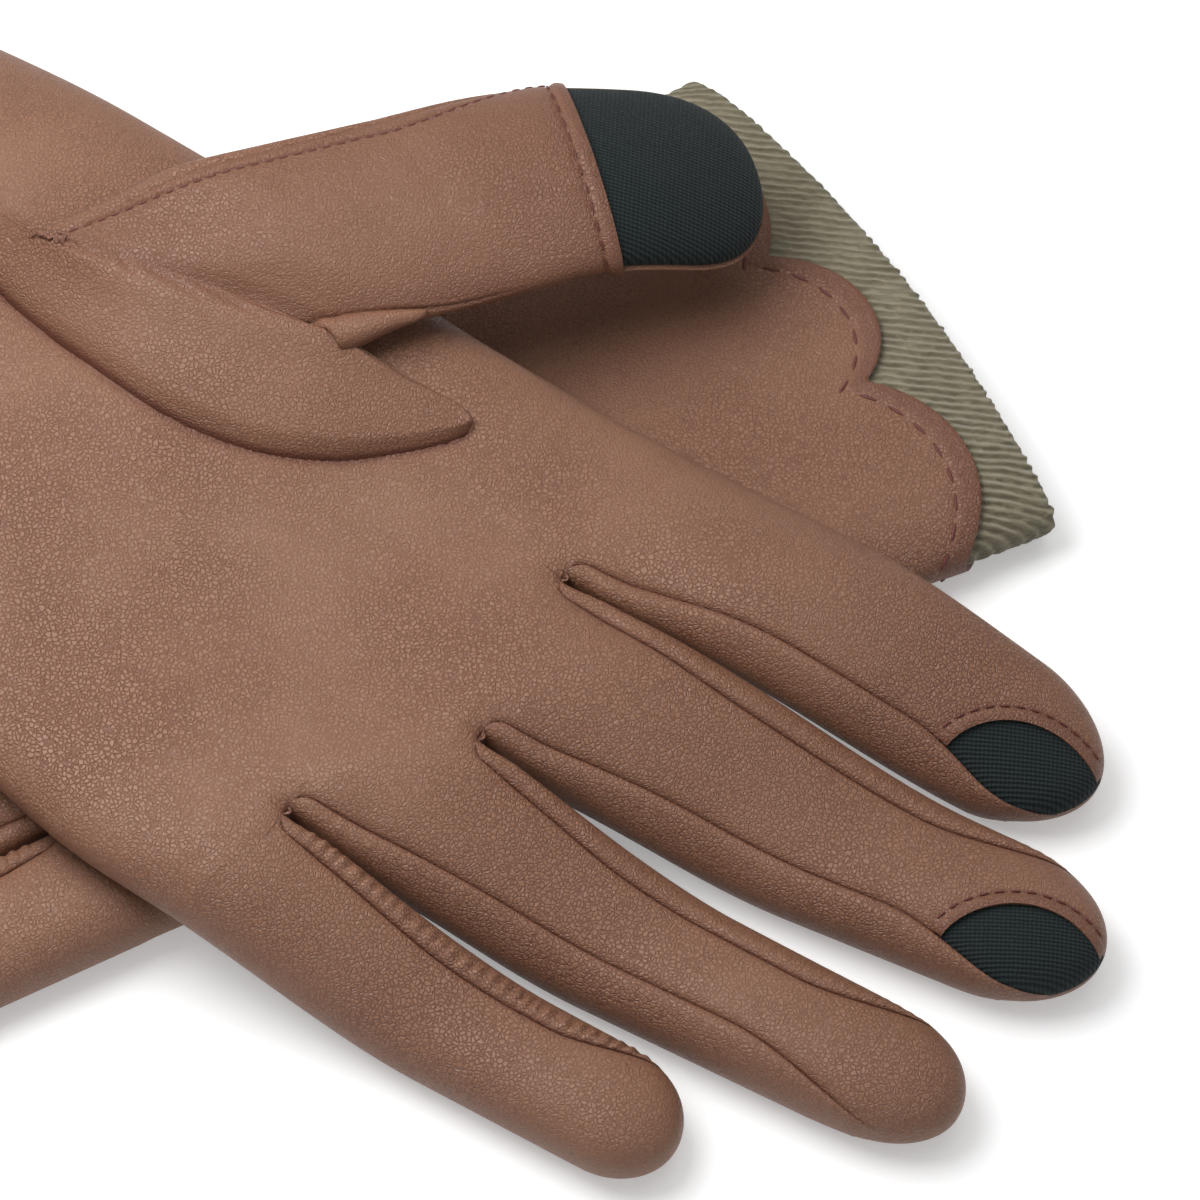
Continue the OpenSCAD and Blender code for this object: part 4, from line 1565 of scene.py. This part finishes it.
    def thumb_spot(self, t: float, a: float, e: float = 0.0) -> Spot:
        """Gives a spot of the thumb.

        Args:
            t: Place along the thumb's centre line.
            a: Angle round it in degrees, from the finger side over the top.
            e: Inset from the outside of the glove.

        Returns:
            The spot, on the table.
        """
        c = self.cut
        r = c.thumb_tip_long * c.thumb_w / 2
        s = clamp01((t - c.thumb_reach + r) / r)
        tip = max(0.0, 1 - s ** c.thumb_tip_powers[0]) ** (1 / c.thumb_tip_powers[1])
        across = c.across_at(a)
        x, y = self.thumb_axis(min(t, c.thumb_reach - e), -(self.thumb_half(t) - e) * tip * across)
        half = self.lie.thumb_thick / 2
        floor = lerp(c.hand_thick + c.thumb_seat, 0.3, smooth(self.lie.droop, self.lie.droop + 34, t))
        h = signed_pow(math.sin(math.radians(a)), 2 / c.top_power)
        z = floor + half + (half - e) * tip**c.tip_flat * h
        high = clamp01((h + 1) / 2)
        fold = lerp(c.fold_middle, c.fold_slit, smooth(0.35, 0.9, across))
        fold = lerp(fold, c.fold_outer, smooth(0.2, 0.9, -across)) + c.fold_dive * smooth(0.72, 1.0, -across)
        fold *= high**0.5 * self.squash
        outer = smooth(-0.3, 0.5, -across)
        z -= fold * (1 - smooth(lerp(-4.0, 0.0, outer), lerp(12.0, 26.0, outer), t - self.thumb_root(a)))
        lean = c.thumb_tilt * (1 - smooth(62.0, 96.0, t)) * self.squash
        z -= lean * lerp(0.6, 1.0, smooth(-0.2, 0.2, across)) * across * high
        if e < 1.0 and h > 0:
            z += self.dents(x, y, 31.0) * h * 0.8 * tip
            z -= 0.16 * bell(t + 0.075 * (a - 90.0), 66.0, 1.6) * h
        return Spot(self.place(x, y, z))

    def build_thumb(self) -> None:
        """Builds the thumb's stalk, patch, stitches and lining."""
        c = self.cut
        fin = self.sewing.finishes
        body = self.body_of("thumb")
        seam = c.thumb_seam_angle
        edge = c.thumb_reach - c.thumb_patch_len
        girth = c.thumb_w * 2.3

        def seam_at(t: float) -> float:
            """Returns the angle of the outer seam, which reaches the thumb's outline at the tip."""
            return lerp(seam, c.thumb_seam_tip, smooth(62.0, edge + 4, t))

        def stalk(q: float, t: float) -> Spot:
            """Returns a spot of the leather from the thumb's fold to the edge of its patch."""
            begin = self.thumb_root(lerp(seam, seam - 360, t))
            along = lerp(begin, edge, q)
            a = lerp(seam_at(along), seam_at(along) - 360, t)
            near = abs(a - self.slit_seam(along)) * girth / 360.0
            slit_dip = roll(near / c.groove_w) * (1 - smooth(66.0, 74.0, along))
            dip = max(roll(min(t, 1 - t) * girth / c.groove_w), slit_dip)
            away = edge - along
            fold = 0.40 * (1 - roll((away + 0.3) / 0.9)) * (1 - smooth(1.0, 2.2, away))
            fold -= 0.20 * bell(away, c.thumb_stitch, 0.5)
            # Painted shade in the seam grooves, along the patch's turned edge and in the groove of its
            # stitches.
            rim_shade = max(0.42 * (1 - smooth(1.3, 2.2, away)), 0.5 * bell(away, c.thumb_stitch, 0.4))
            painted_shade = max(self.SEAM_SHADE * dip**2, rim_shade)
            # Painted shade for the shade on the thumb: a little all over, more on its finger side and most
            # where it rises out of the fold.
            shaded_side = smooth(0.35, 0.95, math.cos(math.radians(a))) * (1 - smooth(70.0, 84.0, along))
            painted_shade = max(painted_shade, 0.28, 0.42 * shaded_side, 0.40 * (1 - smooth(0.0, 9.0, along - begin)))
            tuck = 0.4 * (1 - smooth(0.0, 4.0, along - begin))
            return Spot(self.thumb_spot(along, a, c.groove * dip - fold + tuck).place, painted_shade)

        def tip_back(q: float, t: float) -> Spot:
            """Returns a spot of the leather under the thumb's tip."""
            along = lerp(edge, c.thumb_reach, math.sin(q * math.pi / 2))
            a = lerp(c.patch_under, seam_at(along) - 360, t)
            dip = roll((1 - t) * girth * 0.57 / c.groove_w) * (1 - smooth(0.8, 1.0, q))
            # The seam groove gets painted shade.
            return Spot(self.thumb_spot(along, a, c.groove * dip).place, self.SEAM_SHADE * dip**2)

        def patch(q: float, t: float) -> Spot:
            """Returns a spot of the touch patch over the thumb's tip."""
            along = lerp(edge - 1.0, c.thumb_reach, math.sin(q * math.pi / 2))
            a = lerp(seam_at(along), c.patch_under, t)
            dip = roll(min(t, 1 - t) * girth * 0.43 / c.groove_w)
            sink = (c.patch_sink + 0.4 * dip) * (1 - smooth(0.8, 1.0, q))
            return self.thumb_spot(along, a, sink)

        pieces = (
            ("thumb_leather", (130, 150), stalk, fin.leather, "leather", "thumb_front"),
            ("thumb_tip_back", (40, 64), tip_back, fin.leather, "leather", "thumb_back"),
            ("thumb_touch_patch", (54, 60), patch, fin.touch, "touch_fabric", "thumb_patch"),
        )
        for word, size, surface, finish, slot, node in pieces:
            piece = self.sewing.sheet(f"{self.side}_{word}", size, surface)
            self.dress(piece, body, None, finish, True)
            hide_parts(f"{self.side}_{node}")
        deep = min(c.knit_outer + c.thumb_stall_room, self.lie.thumb_thick / 2 - 0.3)

        def stall(q: float, t: float) -> Spot:
            """Returns a spot of the lining inside the thumb."""
            along = lerp(c.thumb_stall_from, c.thumb_reach, math.sin(q * math.pi / 2))
            return self.thumb_spot(along, t * 360, deep)

        lining = self.sewing.sheet(f"{self.side}_thumb_knit_stall", (30, 36), stall)
        self.dress(lining, body, None, fin.knit, False)
        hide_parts(f"{self.side}_thumb_lining")
        across = [(edge - c.thumb_stitch, lerp(seam_at(edge) - 8, 0.0, i / 49)) for i in range(50)]
        runs = [lerp(self.thumb_root(seam) + 4, edge - 2, i / 99) for i in range(100)]
        outer = [(t, seam_at(t) - 4.5) for t in runs]
        rows = (("patch", across, THUMB_PATCH_STITCH), ("outer", outer, THUMB_SEAM_STITCH))
        for word, marks, stitch in rows:
            path = [self.thumb_mark(t, a) for t, a in marks]
            row = self.sewing.stitches(f"{self.side}_thumb_{word}_stitches", path, stitch)
            self.dress(row, body, None, fin.thread, False)
        first = self.thumb_root(seam) - 1.5

        def rim(q: float, t: float) -> Spot:
            """Returns a spot of the rolled rim beside the thumb's outer seam."""
            along = lerp(first, edge - 6.0, q)
            turned = lerp(3.0, 17.0, smooth(0.0, 0.4, q))
            here, ahead = (self.thumb_spot(at, seam_at(at) + turned).place for at in (along, along + 0.5))
            thick = lerp(1.7, 0.5, smooth(0.0, 0.9, q)) * self.squash * MM
            thick *= round_end(1 - q / 0.06) * round_end((q - 0.95) / 0.05)
            # The rolled rim is darkened slightly by painted shade.
            return Spot(tube_point(here, (ahead - here).normalized(), thick, t * 2 * math.pi, 0.55), 0.1)

        roll_rim = self.sewing.sheet(f"{self.side}_thumb_rim", (110, 18), rim)
        self.dress(roll_rim, body, None, fin.leather, False)
        LOG.info("%s thumb: stalk, patch, rim, stitches and lining", self.side)

    def thumb_mark(self, t: float, a: float) -> Tuple[Vector, Vector]:
        """Gives a spot of the thumb for its stitches.

        Args:
            t: Place along the thumb's centre line.
            a: Angle round it in degrees.

        Returns:
            The spot and the direction that it faces.
        """
        here = self.thumb_spot(t, a).place
        ahead = self.thumb_spot(t + 0.3, a).place - here
        beside = self.thumb_spot(t, a - 2).place - here
        return here, upright(ahead.cross(beside).normalized())

    def fold_corner(self) -> Point2:
        """Returns the place in the flat frame where the thumb's outer seam starts."""
        c = self.cut
        t = self.thumb_root(c.thumb_seam_angle)
        return self.thumb_axis(t, -self.thumb_half(t) * c.across_at(c.thumb_seam_angle))

    def palm_height(self, x: float, y: float) -> float:
        """Returns the height of the palm over a place of the flat frame, without the lift."""
        c = self.cut
        flat = c.side_flat(max(0.0, min(y - self.little_edge(x), self.thumb_edge(x) - y)))
        return c.hand_thick / 2 * (1 + flat) + self.dents(x, y) * flat

    def build_base(self) -> None:
        """Builds the thumb's base, a leaf of leather from its seam in the palm up to the thumb's fold."""
        c = self.cut
        fin = self.sewing.finishes
        slit = self.slit_angle()

        def top(i: float) -> Vector:
            """Returns the thumb's fold, from its outer seam to its slit."""
            a = lerp(c.thumb_seam_angle, slit, i)
            return self.thumb_spot(self.thumb_root(a), a).place

        def ground(p: Point2, sunk: float = 0.6) -> Vector:
            """Returns the palm at a place of the flat frame, sunk by a little."""
            return self.place(p[0], p[1], self.palm_height(p[0], p[1]) - sunk)

        def bottom(i: float) -> Vector:
            """Returns the leaf's seam in the palm, from the wrist to its point."""
            return ground(curve_point(self.SEAM_LINE, i))

        slit_end, fold_end = top(1.0), top(0.0)
        lip_points = list(self.LIP_LINE) + [self.thumb_axis(c.thumb_slit[0], c.thumb_slit[1])]

        def lip(j: float) -> Vector:
            """Returns the leaf's free edge, from its point in the palm up to the thumb's slit."""
            low = ground(curve_point(lip_points, j))
            full = slit_end.z - ground(lip_points[-1]).z
            low.z += lerp(0.95 * MM * smooth(0.0, 0.12, j), full, smooth(0.12, 1.0, j) ** 2.6)
            return low

        corners = (bottom(0.0), bottom(1.0), fold_end, slit_end)

        def left(j: float) -> Vector:
            """Returns the leaf's wrist end, from its seam up to the start of the thumb's outer seam."""
            return corners[0].lerp(fold_end, j)

        first, last = self.SEAM_LINE[0], self.fold_corner()

        def spot(i: float, q: float) -> Spot:
            """Returns a spot of the leaf, a filled sheet between its four edges that puffs up."""
            j = q**1.25
            low, high = bottom(i), top(i)
            blend = low.lerp(high, j) + left(j).lerp(lip(j), i)
            blend -= corners[0].lerp(corners[1], i).lerp(corners[2].lerp(corners[3], i), j)
            from_seam = j * (high - low).length / MM
            wide = (lip(j) - left(j)).length / MM
            from_lip, from_left = (1 - i) * wide, i * wide
            from_point = (blend - corners[1]).length / MM
            ends = (1 - roll(from_lip / 3.0)) * (1 - roll(from_left / 9.0))
            rim = (1 - roll(from_lip / 0.8)) * (1 - roll(from_left / 9.0))
            bolster = 1.05 * (1 - roll(from_seam / 2.6)) * rim * (1 - smooth(0.75, 1.0, j))
            puff = 1.5 * self.squash * math.sin(math.pi * j**0.58) * ends * smooth(0.0, 22.0, from_point)
            blend.z += (bolster + puff - 0.5 * roll(from_lip / 2.0) * smooth(0.1, 0.4, j)) * MM
            folds = 0.14 * math.sin(from_seam * 1.7 + 0.2 * from_left)
            blend.z += folds * smooth(0.7, 0.95, j) * (1 - smooth(0.97, 1.0, j)) * MM
            at = ground((lerp(first[0], last[0], j), lerp(first[1], last[1], j)), 1.5)
            blend.z = lerp(blend.z, at.z, roll(from_left / 5.0) * (1 - smooth(0.84, 1.0, j)))
            # Painted shade in the groove of the leaf's seam, and growing towards the thumb's fold.
            painted_shade = max(0.8 * (1 - smooth(0.15, 1.0, from_seam)), lerp(0.12, 0.40, smooth(0.75, 1.0, j)))
            return Spot(blend, painted_shade)

        base = self.sewing.sheet(f"{self.side}_thumb_base_leather", (150, 70), spot, faces_up=True)
        Sewing.thicken(base, c.leather * MM)
        self.settle(base, fin.leather)
        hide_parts(f"{self.side}_thumb_base")

        on_lip = 0.62
        sideways = self.thumb_spot(60.0, 0.0).place - self.thumb_spot(60.0, 40.0).place
        sideways = Vector((sideways.x, sideways.y, 0.0)).normalized()

        def lip_line(q: float) -> Vector:
            """Returns the rolled edge's line, along the lip and then along the thumb's slit seam."""
            if q < on_lip:
                return lip(clamp01(q / on_lip))
            t = c.thumb_slit[0] + (min(q, 1.0) - on_lip) / (1 - on_lip) * 15.0
            return self.thumb_spot(t, self.slit_seam(t)).place

        def lip_path(q: float) -> Vector:
            """Returns the line with the corner at the slit rounded off."""
            reach = 0.075 * smooth(0.0, 0.1, q) * smooth(1.0, 0.9, q)
            total = Vector()
            for k in range(-3, 4):
                total += lip_line(q + reach * k / 3)
            return total / 7

        def lip_tube(q: float, t: float) -> Spot:
            """Returns a spot of the rolled edge, which is thickest at the slit."""
            k = min(q, 0.98)
            run = (lip_path(k + 0.02) - lip_path(k)).normalized()
            thick = lerp(0.5, 1.1, smooth(0.0, 0.5, q)) + 1.3 * smooth(0.52, 0.68, q)
            thick *= lerp(1.0, 0.35, smooth(0.70, 1.0, q)) * MM
            thick *= round_end(1 - q / 0.03) * round_end((q - 0.94) / 0.06)
            turn = t * 2 * math.pi
            on_thumb = smooth(0.58, 0.70, q)
            middle = lip_path(q) + sideways * (thick * 0.7 * on_thumb)
            shade = 0.1 + 0.45 * on_thumb * clamp01(0.6 * math.cos(turn) - 0.8 * math.sin(turn))
            return Spot(tube_point(middle, run, thick, turn, lerp(0.6, 0.5, on_thumb)), shade)

        roll_edge = self.sewing.sheet(f"{self.side}_thumb_lip", (140, 20), lip_tube)
        self.dress(roll_edge, self.body_of("thumb"), None, fin.leather, False)
        LOG.info("%s thumb base: leaf and rolled lip", self.side)

    def settle(self, obj: bpy.types.Object, finish: bpy.types.Material) -> None:
        """Gives a piece of the hand its finish and lets it move with the hand.

        Args:
            obj: The piece.
            finish: Its material.
        """
        obj.data.materials.append(finish)
        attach(obj, self.hand_body)

    @staticmethod
    def hand_row(q: float) -> float:
        """Returns the place along the hand for a row, with rows closer at the cuff and the knuckles."""
        return lerp(q, (1 - math.cos(math.pi * q)) / 2, 0.6)

    def build_hand(self) -> None:
        """Builds the hand's leather and the stitches of its cuff."""
        c = self.cut
        fin = self.sewing.finishes
        for word, first, columns in (("palm", 0.0, 256), ("back", 0.5, 128)):
            leather = self.sewing.sheet(
                f"{self.side}_{word}_leather",
                (170, columns),
                lambda q, t, first=first: self.hand_spot(self.hand_row(q), first + t / 2),
            )
            Sewing.thicken(leather, c.leather * MM)
            self.settle(leather, fin.leather)
            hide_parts(f"{self.side}_{word}_panel")
        for word, first, last in (("palm", 0.004, 0.496), ("back", 0.504, 0.996)):
            path: Path = []
            for i in range(300):
                v = lerp(first, last, i / 299)
                here = self.hand_spot(0.0, v, c.hem_stitch).place
                ahead = self.hand_spot(0.0, v, c.hem_stitch + 0.5).place - here
                beside = self.hand_spot(0.0, min(v + 0.002, 1.0), c.hem_stitch).place - here
                path.append((here, upright(ahead.cross(beside).normalized(), word == "palm")))
            row = self.sewing.stitches(f"{self.side}_{word}_cuff_stitches", path, CUFF_STITCH)
            self.settle(row, fin.thread)
        LOG.info("%s hand: leather and cuff stitches", self.side)

    def build_lining(self) -> None:
        """Builds the hand's knitted lining, whose ribbed hem shows past the scallops."""
        c = self.cut
        hem = self.hem
        start = -(c.cuff_reach + c.hem_show)
        thick = c.knit / 2
        lean = self.lie.hand.value
        folded = hem.outer_rows + hem.fold_rows

        def yarn(step: float, across: float, up: float) -> float:
            """Returns how far the yarns stand proud at a place of the hem."""
            at = self.cuff_spot(start, step, across, up, c.knit_outer).place / MM
            return hem.yarn(at, lean) + hem.yarn_proud

        def knit(q: float, v: float) -> Spot:
            """Returns a spot of the knit, which runs out to the hem, folds over and runs back inside."""
            across = abs(1 - v * 2)
            up = 1.0 if v <= 0.5 else -1.0
            if q < hem.outer_rows:
                step = hem.outer_len * (1 - q / hem.outer_rows) ** 1.5
                return self.cuff_spot(start, step, across, up, c.knit_outer - yarn(step, across, up))
            if q < folded:
                turn = (q - hem.outer_rows) / hem.fold_rows * math.pi
                shaggy = hem.shag * noise.noise(Vector((across * hem.shag_count, 4.0, lean)))
                e = c.knit_outer + thick - (thick + yarn(0.0, across, up)) * math.cos(turn)
                return self.cuff_spot(start, (-thick * 1.2 + shaggy) * math.sin(turn), across, up, e)
            step = hem.inner_len * (q - folded) / (1 - folded)
            return self.cuff_spot(start, step, across, up, c.knit_inner)

        lining = self.sewing.sheet(f"{self.side}_hand_lining", (126, 760), knit)
        self.settle(lining, self.sewing.finishes.knit)
        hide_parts(f"{self.side}_palm_lining", f"{self.side}_back_lining")
        LOG.info("%s lining: knit with its hem", self.side)

    def dress(
        self,
        obj: bpy.types.Object,
        body: str,
        f: Optional[Finger],
        finish: bpy.types.Material,
        thick: bool,
    ) -> None:
        """Gives a finger or thumb piece its finish and its thickness, and attaches a piece of the lower glove
        to that glove's body; a piece of the upper glove only has its place baked into its mesh.

        Args:
            obj: The piece.
            body: The body that it moves with, which only a piece of the lower glove is attached to.
            f: Its finger, or None for a piece of the thumb.
            finish: Its material.
            thick: Whether it gets the leather's thickness.
        """
        if thick:
            Sewing.thicken(obj, self.cut.leather * MM)
        obj.data.materials.append(finish)
        if body == "right_glove":
            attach(obj, body)
            return
        if f is not None:
            far = max(f.outer_root, f.thumb_root)
            start = self.place(far, f.root_y, self.cut.finger_thick / 2)
            end = self.place(far + self.cut.finger_blend, f.root_y, self.cut.finger_thick / 2)
        else:
            start, end = (self.thumb_spot(t, 90.0).place for t in self.cut.thumb_blend)
        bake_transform(obj)

    def build(self) -> None:
        """Builds every piece of the glove."""
        self.build_hand()
        self.build_lining()
        for f in self.fingers:
            self.build_finger(f)
        self.build_webs()
        self.build_thumb()
        self.build_base()


@dataclass(frozen=True)
class Lamp:
    """A round soft lamp that faces the origin: its place and width in metres, and its power in watts."""

    name: str
    place: Tuple[float, float, float]
    size: float
    power: float


@dataclass(frozen=True)
class Studio:
    """White floor, soft light and the camera of the photograph."""

    target: Tuple[float, float, float] = (0.02888, -0.01227, 0.0)
    distance: float = 0.9
    elevation: float = 59.84
    lens: float = 203.3
    sensor: float = 36.0
    floor_half: float = 3.0
    floor_glow: float = 0.32
    world_light: float = 0.22
    lamps: Tuple[Lamp, ...] = (
        Lamp("overhead", (-0.15, 0.32, 0.95), 1.6, 5.6),
        Lamp("palm_lamp", (-0.11, 0.02, 0.30), 0.24, 0.80),
        Lamp("front_fill", (0.5, -0.8, 0.8), 0.8, 1.1),
    )

    def build(self) -> None:
        """Sets up the floor, the lights, the world and the camera."""
        self._floor()
        self._lights()
        self._camera()
        LOG.info("studio: floor, lights and camera")

    def _floor(self) -> None:
        """Lays the white floor, which keeps the gloves' shadow."""
        bm = bmesh.new()
        bmesh.ops.create_grid(bm, x_segments=1, y_segments=1, size=self.floor_half)
        floor = Sewing.finish_mesh("floor", bm)
        mat, sheet, shader = NodeSheet.new_material("white_floor")
        pale = {"Base Color": rgba((0.86, 0.86, 0.86)), "Roughness": 0.9, "Specular IOR Level": 0.0}
        sheet.fill(shader, {**pale, "Emission Color": WHITE})
        path = sheet.add("LightPath")
        seen = sheet.add("Math", operation="MAXIMUM")
        seen_all = sheet.add("Math", operation="MAXIMUM")
        glow = sheet.add("Math", {1: self.floor_glow}, operation="MULTIPLY")
        sheet.join(
            (path, "Is Camera Ray", seen, 0),
            (path, "Is Glossy Ray", seen, 1),
            (seen, "Value", seen_all, 0),
            (path, "Is Transmission Ray", seen_all, 1),
            (seen_all, "Value", glow, 0),
            (glow, "Value", shader, "Emission Strength"),
        )
        floor.data.materials.append(mat)

    def _lights(self) -> None:
        """Hangs the soft lamps and lights the world evenly."""
        world = bpy.data.worlds.new("studio_light")
        bpy.context.scene.world = world
        world.use_nodes = True
        NodeSheet.fill(world.node_tree.nodes["Background"], {"Color": WHITE, "Strength": self.world_light})
        for lamp in self.lamps:
            data = bpy.data.lights.new(lamp.name, "AREA")
            data.energy = lamp.power
            data.shape = "DISK"
            data.size = lamp.size
            obj = bpy.data.objects.new(lamp.name, data)
            obj.location = lamp.place
            obj.rotation_euler = (-Vector(lamp.place)).to_track_quat("-Z", "Y").to_euler()
            bpy.context.scene.collection.objects.link(obj)

    def _camera(self) -> None:
        """Puts the camera where the photograph was taken from."""
        data = bpy.data.cameras.new("photo_camera")
        data.lens = self.lens
        data.sensor_width = self.sensor
        data.clip_start = 0.01
        cam = bpy.data.objects.new("photo_camera", data)
        e = math.radians(self.elevation)
        target = Vector(self.target)
        cam.location = target + Vector((0.0, -math.cos(e), math.sin(e))) * self.distance
        cam.rotation_euler = (target - cam.location).to_track_quat("-Z", "Y").to_euler()
        bpy.context.scene.collection.objects.link(cam)
        bpy.context.scene.camera = cam


def main() -> None:
    """Builds both gloves and the studio."""
    logging.basicConfig(level=logging.INFO, format="%(message)s")
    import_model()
    bpy.context.scene.view_settings.view_transform = "Standard"
    cut = Cut()
    drape = Drape(cut)
    sewing = Sewing(Finishes())
    Studio().build()
    for lie in (LOWER, UPPER):
        Glove(cut, lie, drape, sewing).build()


if __name__ == "__main__":
    main()
